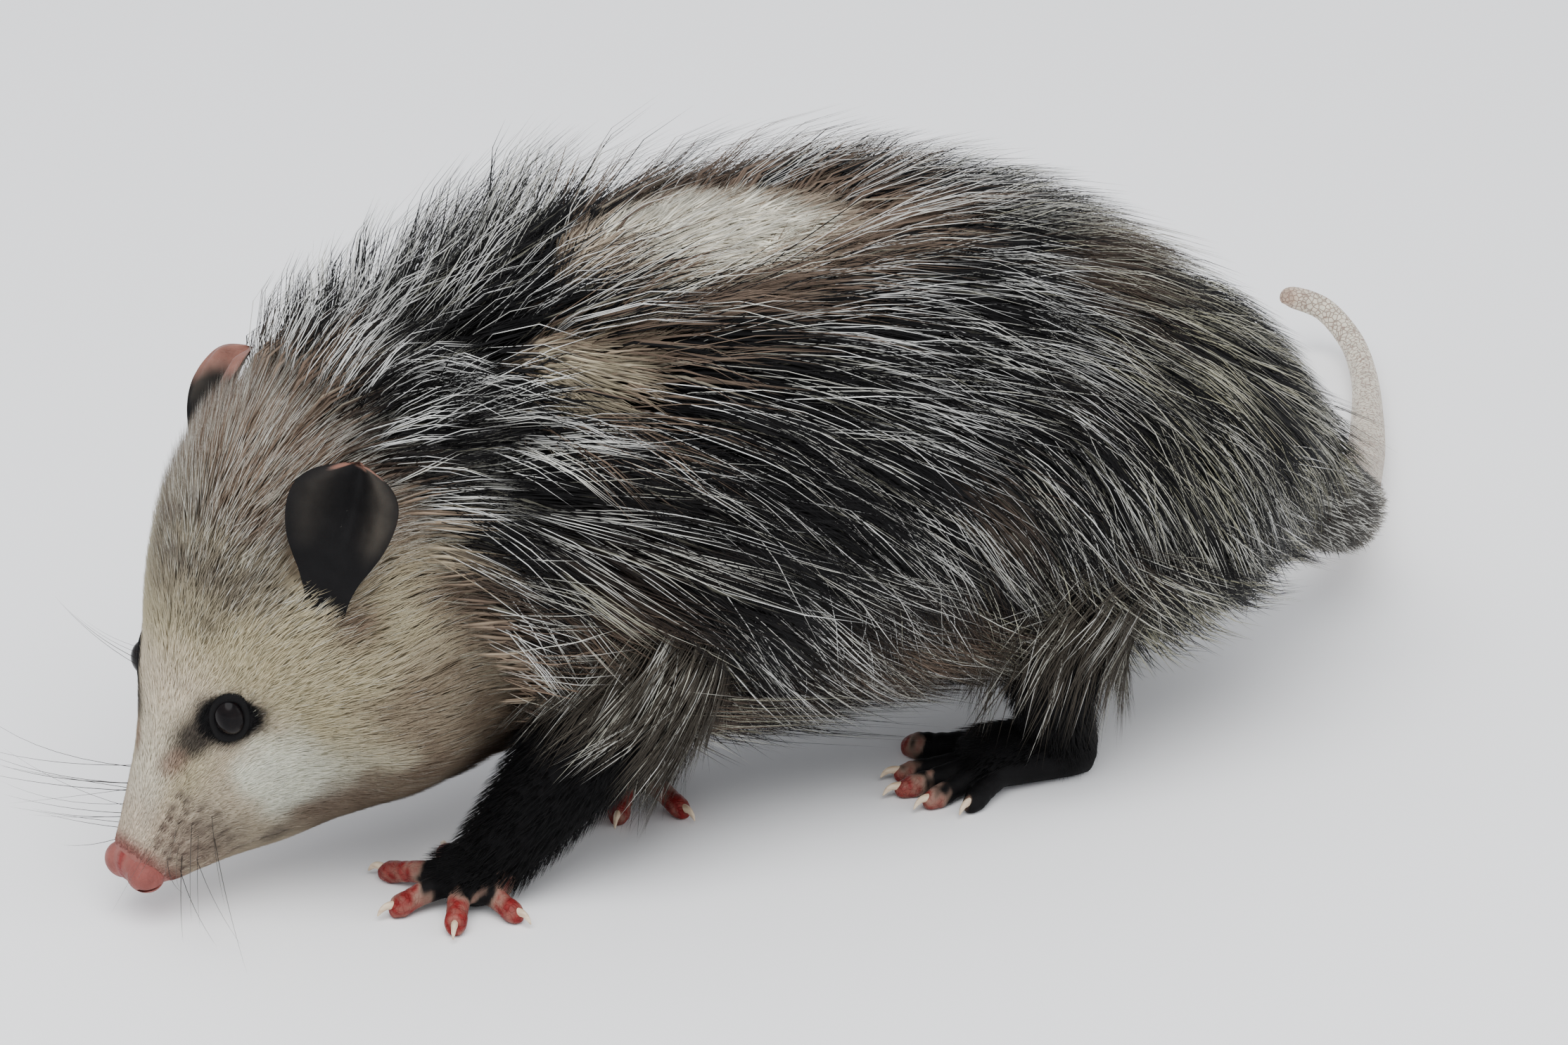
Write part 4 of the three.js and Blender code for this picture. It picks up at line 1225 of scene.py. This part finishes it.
def trunk_hairs(t, angle, rng, length, wide, tip_height, rooted, stray, wave):
    """Hairs that lie back and down over the trunk. Their tips stand tip_height off the solids.

    rooted is how deep their roots sit, as a share of the skin's depth, and stray and wave turn them.
    """
    count = len(t)
    base = trunk(t, angle)
    out, _, _, per_row, per_turn = trunk_frame(t, angle)
    hand = np.sign(np.arctan2(np.sin(angle), np.cos(angle)))
    aside = np.abs(np.sin(angle))
    body = smooth(t, 8.5, 11)
    turn = hand * (np.radians(8) + np.radians(8 + 28 * body) * aside)
    ripples = drift(base, 60, 21) + 0.7 * drift(base, 22, 22) + 0.8 * body * drift(base, 11, 23)
    turn = turn + wave * ripples
    turn = turn + stray * rng.normal(size=count)
    depth = skin_depth(t, base)
    root = trunk(t, angle, -depth * rooted)
    end_t = t + length * np.cos(turn) / per_row
    end_angle = angle + length * np.sin(turn) / np.maximum(per_turn, 12)
    limit = TRUNK_END - 0.25  # past this row the tips trail off behind the rump
    over = np.maximum(0, end_t - limit) * 11
    end_t = np.minimum(end_t, limit)
    tip_out, _, _, _, _ = trunk_frame(end_t, end_angle)
    trailing = unit(np.array([0.86, 0.05, -0.5]))
    tip = trunk(end_t, end_angle) + tip_out * tip_height[:, None] + over[:, None] * trailing
    half_t, half_angle = np.minimum(t + 0.42 * (end_t - t), limit), angle + 0.42 * (end_angle - angle)
    half_out, _, _, _, _ = trunk_frame(half_t, half_angle)
    middle = trunk(half_t, half_angle) + half_out * (0.78 * tip_height + 0.10 * depth)[:, None]
    place = unwrapped(
        0.03 + 0.6 * t / TRUNK_END, 0.05 + 0.9 * np.mod(angle, 2 * math.pi) / (2 * math.pi),
    )
    return {
        "root": root, "middle": middle, "tip": tip, "out": out, "place": place, "wide": wide,
        "shade": np.clip(0.5 + 0.22 * rng.normal(size=count), 0, 1), "frost": np.zeros(count),
        "warm": np.zeros(count), "start_t": t, "start_angle": angle,
        "end_t": end_t, "end_angle": end_angle, "half_t": half_t, "half_angle": half_angle,
        **trunk_marks(t, angle, base),
    }


def off_parting(hairs, rng):
    """Leaves out most hairs that would lie across the parting."""
    across = in_parting(hairs["end_t"], hairs["end_angle"], 0.85)
    across |= in_parting(hairs["half_t"], hairs["half_angle"], 0.9)
    return picked(hairs, ~across | (rng.uniform(size=len(across)) < 0.1))


pieces = []

# How many hairs grow on each part of the coat, and on each leg and each foot. In a parting, most of
# the tries fall outside it.
HEAD_HAIRS, UNDER_HAIRS, GUARD_HAIRS, PARTING_TRIES = 91000, 25000, 41400, 60000
LEG_HAIRS, HEM_HAIRS, TAIL_HAIRS, FOOT_HAIRS = 6000, 1800, 5200, 1500
# Their usual lengths and half widths in mm.
UNDER_LONG, GUARD_LONG, PARTING_LONG, LEG_LONG, HEM_LONG, TAIL_LONG = 46, 58, 20, 7, 30, 17
UNDER_WIDE, GUARD_WIDE, PARTING_WIDE = 0.55, 0.14, 0.42
LEG_WIDE, HEM_WIDE, TAIL_WIDE, FOOT_WIDE = 0.19, 0.17, 0.25, 0.2
# On the head, by the row of the trunk: length, half width, and how far the tips stand up.
HEAD_LONG = [(0.9, 1.2), (2, 2.0), (4, 2.9), (6, 4.0), (8, 7), (9.4, 13), (10.7, 26)]
HEAD_WIDE = [(0.9, 0.10), (4, 0.125), (7, 0.15), (9, 0.19), (10.7, 0.24)]
HEAD_HIGH = [(0.9, 0.1), (3, 0.2), (6, 0.35), (9, 1.2), (10.7, 6)]


def sorted_pieces(name, hairs, order, kind, parts, seed):
    """Grows the hairs as pieces, parted by their order, so that no piece is too large."""
    ranked = np.argsort(order, kind="stable")
    for k, keep in enumerate(np.array_split(ranked, parts)):
        label = f"{name}_{k + 1}" if parts > 1 else name
        pieces.append(grown(label, picked(hairs, keep), kind, COAT, seed + k))


def through_ears(points):
    """Which points lie in the thin cups of the ears."""
    cups = np.concatenate([p[len(p) // 4:] for p in ear_points])
    tree = kdtree.KDTree(len(cups))
    for k, p in enumerate(cups):
        tree.insert(p, k)
    tree.balance()
    return np.array([tree.find(p)[2] < 2.2 for p in points])


def closer_ahead(t):
    return 1 / (1 + 0.3 * np.maximum(0, t - 3))


def head_coat():
    """Short hair, closer toward the nose and longer on the crown and the jowl."""
    t, angle, rng = trunk_roots(HEAD_HAIRS, 0.95, 10.7, seed=101, weight=closer_ahead)
    base = trunk(t, angle)
    away = np.minimum(*[np.linalg.norm(base - eye[0], axis=1) for eye in EYES.values()])
    from_lips = np.minimum(*[far_from(base, line) for line in MOUTH_POINTS.values()])
    keep = (away > 6.5) & (from_lips > 0.8)
    t, angle, base, away = t[keep], angle[keep], base[keep], away[keep]
    count = len(t)
    length = by_row(t, HEAD_LONG) * rng.uniform(0.75, 1.2, count)
    turned = np.degrees(np.abs(angle))
    crown = smooth(t, 6.6, 8.4) * (1 - smooth(turned, 45, 80))
    length = length * (1 + 0.7 * smooth(turned, 100, 150) * smooth(t, 5, 8)) * (1 + 0.35 * crown)
    length = length * (0.45 + 0.55 * smooth(away, 7, 10))
    wide = by_row(t, HEAD_WIDE) * rng.uniform(0.75, 1.25, count)
    height = by_row(t, HEAD_HIGH) * rng.uniform(0.0, 1.4, count)
    height = height + crown * rng.uniform(0, 3.5, count)
    hairs = trunk_hairs(t, angle, rng, length, wide, height, rooted=0.9, stray=0.16, wave=0.13)
    # most hairs whose tips would cut through an ear are left out
    beside = np.flatnonzero((t > 7.2) & (t < 10.4) & (turned > 25) & (turned < 85))
    blocked = np.zeros(count, bool)
    blocked[beside] = through_ears(hairs["tip"][beside]) & (rng.uniform(size=len(beside)) < 0.93)
    hairs, t, count = picked(hairs, ~blocked), t[~blocked], int((~blocked).sum())
    crown, base = crown[~blocked], base[~blocked]
    shade = 0.5 - 0.1 * crown + (0.1 + 0.14 * crown) * rng.normal(size=count)
    hairs["shade"] = np.clip(shade + 0.06 * drift(base, 4, 103), 0, 1)
    frosted = rng.uniform(size=count) < 0.10 + 0.27 * crown + 0.2 * smooth(t, 9, 10)
    hairs["frost"] = frosted * rng.uniform(0.35, 0.9, count) * smooth(t, 5, 7)
    hairs["warm"] = rng.uniform(0.3, 1, count) * (1 - 0.4 * crown)
    copied = {key: np.array(value) for key, value in hairs.items()}
    tufted = clumped(copied, size=12, pull=0.4, seed=102)
    soft = smooth(t, 6.5, 8.5)[:, None]
    for key in ("middle", "tip"):
        hairs[key] = hairs[key] + (tufted[key] - hairs[key]) * soft
    sorted_pieces("coat_head", hairs, t, "spike", parts=2, seed=110)


def under_coat():
    """The dark, dense hair between the long guard hairs."""
    t, angle, rng = trunk_roots(UNDER_HAIRS, 9.6, TRUNK_END - 0.4, seed=201)
    parted = in_parting(t, angle, 0.95)
    t, angle = t[~parted], angle[~parted]
    count = len(t)
    size = by_row(t, [(9.6, 0.5), (11, 0.8), (13, 1)])
    length = UNDER_LONG * size * rng.uniform(0.8, 1.15, count)
    height = coat_depth(t + 0.8, angle) * rng.uniform(0.2, 0.68, count)
    wide = UNDER_WIDE * rng.uniform(0.7, 1.3, count)
    hairs = trunk_hairs(t, angle, rng, length, wide, height, rooted=0.9, stray=0.14, wave=0.22)
    hairs = off_parting(hairs, rng)
    count = len(hairs["root"])
    hairs["frost"] = (rng.uniform(size=count) < 0.08) * rng.uniform(0.15, 0.4, count)
    hairs["warm"] = np.full(count, 0.8)
    order = hairs["root"][:, 0]
    hairs = clumped(hairs, size=14, pull=0.65, seed=202)
    sorted_pieces("coat_under", hairs, order, "short", parts=2, seed=210)


def guard_coat():
    """The long, thin, pale-tipped hairs that lie over the dark coat."""
    t, angle, rng = trunk_roots(GUARD_HAIRS, 9.9, TRUNK_END - 0.3, seed=301)
    parted = in_parting(t, angle)
    t, angle = t[~parted], angle[~parted]
    count = len(t)
    turned = np.degrees(np.abs(angle))
    standing = (1 - smooth(turned, 30, 70)) * (1 - smooth(t, 12.6, 13.8))
    hem = bump(t, 12, 1.5) * smooth(turned, 85, 115)
    size = by_row(t, [(9.9, 0.5), (11, 0.75), (13, 1), (18, 1), (21, 0.85)])
    size = size * (1 - 0.25 * standing) * (1 + 0.25 * hem)
    length = GUARD_LONG * size * rng.uniform(0.7, 1.2, count)
    height = coat_depth(t + 1.0, angle) * rng.uniform(0.42, 1.06, count) * (1 + 0.55 * standing)
    wide = GUARD_WIDE * rng.uniform(0.7, 1.35, count)
    hairs = trunk_hairs(t, angle, rng, length, wide, height, rooted=0.85, stray=0.17, wave=0.3)
    hairs = off_parting(hairs, rng)
    base = trunk(hairs["start_t"], hairs["start_angle"])
    turned = np.degrees(np.abs(hairs["start_angle"]))
    count = len(base)
    dark = bump(hairs["start_t"], 12.2, 1.3) * bump(turned, 80, 26)
    rump = smooth(hairs["start_t"], 14.5, 17.5)
    nape = (1 - smooth(hairs["start_t"], 11.5, 13)) * (1 - smooth(turned, 30, 60))
    chance = 0.30 + 0.05 * drift(base, 40, 305) - 0.17 * dark + 0.05 * rump + 0.1 * nape
    hairs["frost"] = (rng.uniform(size=count) < chance) * rng.uniform(0.6, 1, count)
    warmth = 0.12 + 0.5 * rump + 0.3 * smooth(turned, 85, 120) + 0.3 * drift(base, 60, 306)
    hairs["warm"] = np.clip(warmth + 0.2 * rng.normal(size=count), 0, 1)
    order = hairs["root"][:, 0]
    hairs = clumped(hairs, size=7, pull=0.75, seed=302, shared=("frost", "warm"))
    sorted_pieces("coat_guard", hairs, order, "long", parts=4, seed=310)


def parting_coat():
    """Cream woolly underfur that shows where the long hair has parted."""
    t, angle, rng = trunk_roots(PARTING_TRIES, 11.8, 16.2, seed=401)
    inside = in_parting(t, angle, 1.15)
    t, angle = t[inside], angle[inside]
    count = len(t)
    height = rng.uniform(1.5, 5.5, count)
    length = PARTING_LONG * rng.uniform(0.7, 1.2, count)
    wide = PARTING_WIDE * rng.uniform(0.8, 1.2, count)
    hairs = trunk_hairs(t, angle, rng, length, wide, height, rooted=0.6, stray=0.3, wave=0.5)
    edge = ~in_parting(t, angle, 0.8)
    for name in MARKS:
        hairs[name] = np.zeros(count)
    hairs["brown"] = np.where(edge, rng.uniform(0.35, 0.8, count), rng.uniform(0, 0.1, count))
    hairs["white"] = np.where(edge, 0, rng.uniform(0.3, 0.8, count) * (t > 13))
    hairs["olive"] = np.where(t > 13, 0, rng.uniform(0.6, 1, count))
    hairs["dusk"] = np.where(t > 13, 0, rng.uniform(0.2, 0.65, count))
    hairs = clumped(hairs, size=14, pull=0.6, seed=402)
    sorted_pieces("coat_parting", hairs, t, "short", parts=1, seed=410)


def tube_hairs(path, count, low, high, seed, row, length, wide, lift, lie, depth=1.5):
    """Hairs along a limb or the tail. lie turns them round it, and row is its place on the unwrap."""
    rng = np.random.default_rng(seed)
    path = np.asarray(path, float)
    t = rng.uniform(low, high, count)
    turn = rng.uniform(0, 2 * math.pi, count)
    middle = spline(path[:, :3], t)
    along = unit(spline(path[:, :3], t + 0.02) - spline(path[:, :3], t - 0.02))
    side = unit(np.cross(along, UP))
    up = np.cross(side, along)
    out = side * np.sin(turn)[:, None] + up * np.cos(turn)[:, None]
    around = side * np.cos(turn)[:, None] - up * np.sin(turn)[:, None]
    radius = spline(path[:, 3], t)[:, None]
    length = (length * rng.uniform(0.75, 1.2, count))[:, None]
    heading = unit(along + around * (lie + 0.2 * rng.normal(size=count))[:, None])
    root = middle + out * (radius - depth)
    tip = middle + heading * length + out * (radius + lift * rng.uniform(0.3, 1.2, (count, 1)))
    bend = middle + heading * length * 0.45 + out * (radius + 0.8 * lift)
    tip[:, 2] = np.maximum(tip[:, 2], 0.8)
    bend[:, 2] = np.maximum(bend[:, 2], 1.2)
    place = unwrapped(
        0.66 + 0.3 * t / (len(path) - 1), 0.02 + 0.13 * turn / (2 * math.pi) + 0.15 * row,
    )
    return {
        "root": root, "middle": bend, "tip": tip, "out": out, "place": place,
        "wide": wide * rng.uniform(0.8, 1.2, count),
        "shade": np.clip(0.5 + 0.2 * rng.normal(size=count), 0, 1),
        "frost": np.zeros(count), "warm": np.full(count, 0.3), **no_marks(count),
    }


def together(parts):
    return {key: np.concatenate([p[key] for p in parts]) for key in parts[0]}


def leg_coat():
    parts = []
    for k, path in enumerate(LEGS.values()):
        hairs = tube_hairs(
            path, LEG_HAIRS, low=0.35, high=2.95, seed=500 + k, row=k,
            length=LEG_LONG, wide=LEG_WIDE, lift=0.7, lie=0.15,
        )
        hairs["black"] = np.ones(LEG_HAIRS)
        hairs["shade"] *= 0.8
        parts.append(hairs)
    order = np.arange(len(LEGS) * LEG_HAIRS)
    sorted_pieces("coat_legs", together(parts), order, "spike", parts=1, seed=510)


def hem_coat():
    """Long body hair that hangs over the top of each leg."""
    hems = []
    for k, (name, path) in enumerate(LEGS.items()):
        hairs = tube_hairs(
            path, HEM_HAIRS, low=0.45, high=1.35 if "fore" in name else 1.5, seed=520 + k, row=k,
            length=HEM_LONG, wide=HEM_WIDE, lift=4, lie=0.3, depth=0,
        )
        rng = np.random.default_rng(530 + k)
        hairs["black"] = np.full(HEM_HAIRS, 0.9)
        hairs["brown"] = np.full(HEM_HAIRS, 0.3)
        frosted = rng.uniform(size=HEM_HAIRS) < 0.17
        hairs["frost"] = frosted * rng.uniform(0.4, 0.9, HEM_HAIRS)
        hairs["warm"] = rng.uniform(0.1, 0.7, HEM_HAIRS)
        hems.append(clumped(hairs, size=8, pull=0.6, seed=540 + k, shared=("frost", "warm")))
    order = np.arange(len(LEGS) * HEM_HAIRS)
    sorted_pieces("coat_leg_hems", together(hems), order, "short", parts=1, seed=550)


def tail_coat():
    """The furred root of the tail."""
    hairs = tube_hairs(
        TAIL, TAIL_HAIRS, low=0.15, high=2.75, seed=601, row=len(LEGS),
        length=TAIL_LONG, wide=TAIL_WIDE, lift=2.2, lie=0.0,
    )
    rng = np.random.default_rng(602)
    far = (hairs["place"][:, 0] - 0.66) / 0.3 * (len(TAIL) - 1)
    hairs["black"] = 0.95 - 0.5 * smooth(far, 1.6, 2.8)
    hairs["frost"] = (rng.uniform(size=len(far)) < 0.3) * 0.8
    hairs = picked(hairs, rng.uniform(size=len(far)) > smooth(far, 1.9, 2.8))
    hairs = clumped(hairs, size=8, pull=0.4, seed=603)
    order = np.arange(len(hairs["root"]))
    sorted_pieces("coat_tail", hairs, order, "short", parts=1, seed=610)


def foot_coat():
    """Short black hair over the backs of the feet."""
    parts, count = [], FOOT_HAIRS
    for k, plan in enumerate(FEET.values()):
        rng = np.random.default_rng(700 + k)
        sole = np.array(plan["sole"], float)
        share = rng.uniform(0, 1, count)
        middle = spline(sole, share * (len(sole) - 1))
        across = rng.uniform(-0.95, 0.95, count)
        arch = np.sqrt(1 - across ** 2)
        heading = unit(np.append(sole[-1, :2] - sole[0, :2], 0))
        side = np.array([-heading[1], heading[0], 0])
        root = middle[:, :3] + side * (across * middle[:, 3])[:, None]
        root[:, 2] = middle[:, 2] + (middle[:, 2] + 0.4) * arch - 0.6
        out = unit(UP * arch[:, None] + side * across[:, None])
        length = rng.uniform(4, 7, count)[:, None]
        lie = unit(heading + side * (0.6 * across + 0.2 * rng.normal(size=count))[:, None])
        tip = root + lie * length + out * 0.9
        tip[:, 2] = np.maximum(tip[:, 2] - 1.5 * share, 1)
        hairs = {
            "root": root, "middle": root + lie * length * 0.5 + out * 1.3, "tip": tip, "out": out,
            "place": unwrapped(0.66 + 0.3 * share, 0.8 + 0.045 * k + 0.02 * across),
            "wide": FOOT_WIDE * rng.uniform(0.8, 1.2, count), "shade": rng.uniform(0.2, 0.8, count),
            "frost": np.zeros(count), "warm": np.zeros(count), **no_marks(count),
        }
        hairs["black"] = np.ones(count)
        parts.append(hairs)
    order = np.arange(len(FEET) * count)
    sorted_pieces("coat_feet", together(parts), order, "spike", parts=1, seed=710)


head_coat()
under_coat()
guard_coat()
parting_coat()
leg_coat()
hem_coat()
tail_coat()
foot_coat()


def whiskers():
    """Long whiskers from every other spot on the muzzle, and a few above each eye."""
    rng = np.random.default_rng(801)
    roots, middles, tips, outs, wide = [], [], [], [], []

    def add(root, lean, bend, length, thick):
        tip = root + lean * length * 0.5 + bend * length * 0.5
        tip[2] = max(tip[2], 2.5)
        tip[0] = max(tip[0], WHISKER_REACH)
        roots.append(root)
        middles.append(root + lean * length * 0.5)
        tips.append(tip)
        outs.append(unit(np.cross(lean, bend) + 1e-3))
        wide.append(thick * rng.uniform(0.8, 1.2))

    for t, angle, row, k in SPOTS:
        if (row + k) % 2:
            continue
        out, back, _, _, _ = trunk_frame(np.array(t), np.array(angle))
        lean = unit(out - back * rng.uniform(0.0, 0.35) + UP * rng.uniform(-0.05, 0.15))
        bend = unit(lean + back * rng.uniform(0.1, 0.45) + UP * rng.uniform(-0.1, 0.1))
        root = trunk(np.array(t), np.array(angle), -0.6)
        add(root, lean, bend, length=(30 + 5 * k) * rng.uniform(0.8, 1.1), thick=0.13)
    for hand in (LEFT, RIGHT):
        middle, out, back, round_ = EYES[hand]
        for k in range(4):
            root = middle + out * 2 - round_ * hand * (7.5 + 0.4 * k) + back * (1.5 - 1.6 * k)
            lean = unit(out + UP * 0.5 - back * (0.25 - 0.1 * k))
            add(root, lean, unit(lean + back * 0.5), length=17 + 4 * k, thick=0.09)
    count = len(roots)
    roots = np.array(roots)
    place = unwrapped(np.full(count, 0.97), 0.02 + 0.9 * np.arange(count) / count)
    hairs = {
        "root": roots, "middle": np.array(middles), "tip": np.array(tips), "out": np.array(outs),
        "place": place, "wide": np.array(wide), "shade": np.zeros(count),
        "frost": np.zeros(count), "warm": np.zeros(count), **no_marks(count),
    }
    return grown("whiskers", hairs, "whisker", WHISKER, 802)


whisker_piece = whiskers()
for made in BLADES.values():
    discard(made)

EYE, CLAW = eye_material(), claw_material()


def eyeball(name, hand):
    middle, *axes = EYES[hand]
    return finished(mesh_object(name, *egg(middle, (EYE_RADIUS,) * 3, axes, fine=64)), EYE)


eye_pieces = {"left_eye": eyeball("left_eyeball", LEFT), "right_eye": eyeball("right_eyeball", RIGHT)}


def claw_parts(plan):
    """A small bent claw on each toe that has one."""
    parts = []
    for k, toe in enumerate(plan["toes"]):
        if k == plan["clawless"]:
            continue
        path = toe_path(toe, plan["sole"])
        x, y, z, _ = path[-1]
        heading = unit(np.array([x - plan["sole"][2][0], y - plan["sole"][2][1], 0.0]))
        rows = [(-2.5, 1, 1.2), (0.0, 1.25, 1.15), (1.4, 1.1, 0.95), (2.7, 0.3, 0.7), (3.8, -1.0, 0.22)]
        bow = [
            (x + heading[0] * reach, y + heading[1] * reach, z + rise, radius * 0.8, radius)
            for reach, rise, radius in rows
        ]
        parts.append(grid_mesh(tube_rings(bow, steps=18, sides=14)))
    return parts


claws = {
    name: finished(merged(name + "_claws", claw_parts(plan)), CLAW) for name, plan in FEET.items()
}

# What each piece stands for, and what it rides on.
nodes = list(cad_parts)
flesh = [n for n in nodes if "claw" not in n and not n.endswith("eye")]
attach(skin, "root")
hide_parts(*flesh)
for made in pieces:
    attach(made, "root")
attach(whisker_piece, "root")
for name, made in eye_pieces.items():
    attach(made, "root")
    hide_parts(name)
for name, made in claws.items():
    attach(made, "root")
    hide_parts(*[n for n in nodes if n.startswith(name + "_claw")])


# The floor, the light and the camera, in metres.
FLOOR_REACH = 6


def stage_floor():
    mesh = bpy.data.meshes.new("floor")
    corners = [(-1, -1), (1, -1), (1, 1), (-1, 1)]
    mesh.from_pydata([(FLOOR_REACH * x, FLOOR_REACH * y, 0) for x, y in corners], [], [(0, 1, 2, 3)])
    made = bpy.data.objects.new("floor", mesh)
    bpy.context.collection.objects.link(made)
    material, s, shader = new_material("floor")
    tone = s.mix(s.remap(s.noise(1.5, 3), 0.3, 0.7), (0.92, 0.92, 0.92), (0.94, 0.94, 0.945))
    s.link(tone, shader.inputs["Base Color"])
    shader.inputs["Roughness"].default_value = 0.9
    mesh.materials.append(material)


def turned_to(right, up, back, place):
    """Where a light or the camera stands, and which way it looks."""
    turned = Matrix([[*row] for row in np.stack([right, up, back], -1)]).to_4x4()
    turned.translation = place
    return turned


def soft_light(name, place, aim, size, power):
    data = bpy.data.lights.new(name, "AREA")
    data.shape = "DISK"
    data.size = size
    data.energy = power
    made = bpy.data.objects.new(name, data)
    back = unit(np.array(place, float) - np.array(aim, float))
    side = unit(np.cross(UP, back))
    made.matrix_world = turned_to(side, np.cross(back, side), back, place)
    bpy.context.collection.objects.link(made)


stage_floor()
soft_light("sky", place=(-0.7, -1.0, 2.0), aim=(0, 0, 0.05), size=2.2, power=62)
soft_light("fill", place=(1.8, -1.4, 1.0), aim=(0, 0, 0.08), size=1.6, power=9)
world = bpy.data.worlds.new("studio")
bpy.context.scene.world = world
world.use_nodes = True
background = world.node_tree.nodes["Background"].inputs
background["Color"].default_value = (0.93, 0.95, 1.0, 1)
background["Strength"].default_value = 1.2

# The camera was fitted to the nose, eye, ears, feet, belly and back in the photo.
CAMERA = {
    "azimuth": rad(-28), "elevation": rad(22), "distance": 1.7,
    "sensor": 36, "lens": 141, "target": placed([-29, 0, 74]),
}


def camera():
    a, e = CAMERA["azimuth"], CAMERA["elevation"]
    back = np.array([math.sin(a) * math.cos(e), -math.cos(a) * math.cos(e), math.sin(e)])
    right = np.array([math.cos(a), math.sin(a), 0])
    data = bpy.data.cameras.new("camera")
    data.sensor_width = CAMERA["sensor"]
    data.lens = CAMERA["lens"]
    data.clip_end = 50
    made = bpy.data.objects.new("camera", data)
    place = CAMERA["target"] + back * CAMERA["distance"]
    made.matrix_world = turned_to(right, np.cross(back, right), back, place)
    bpy.context.collection.objects.link(made)
    bpy.context.scene.camera = made


camera()
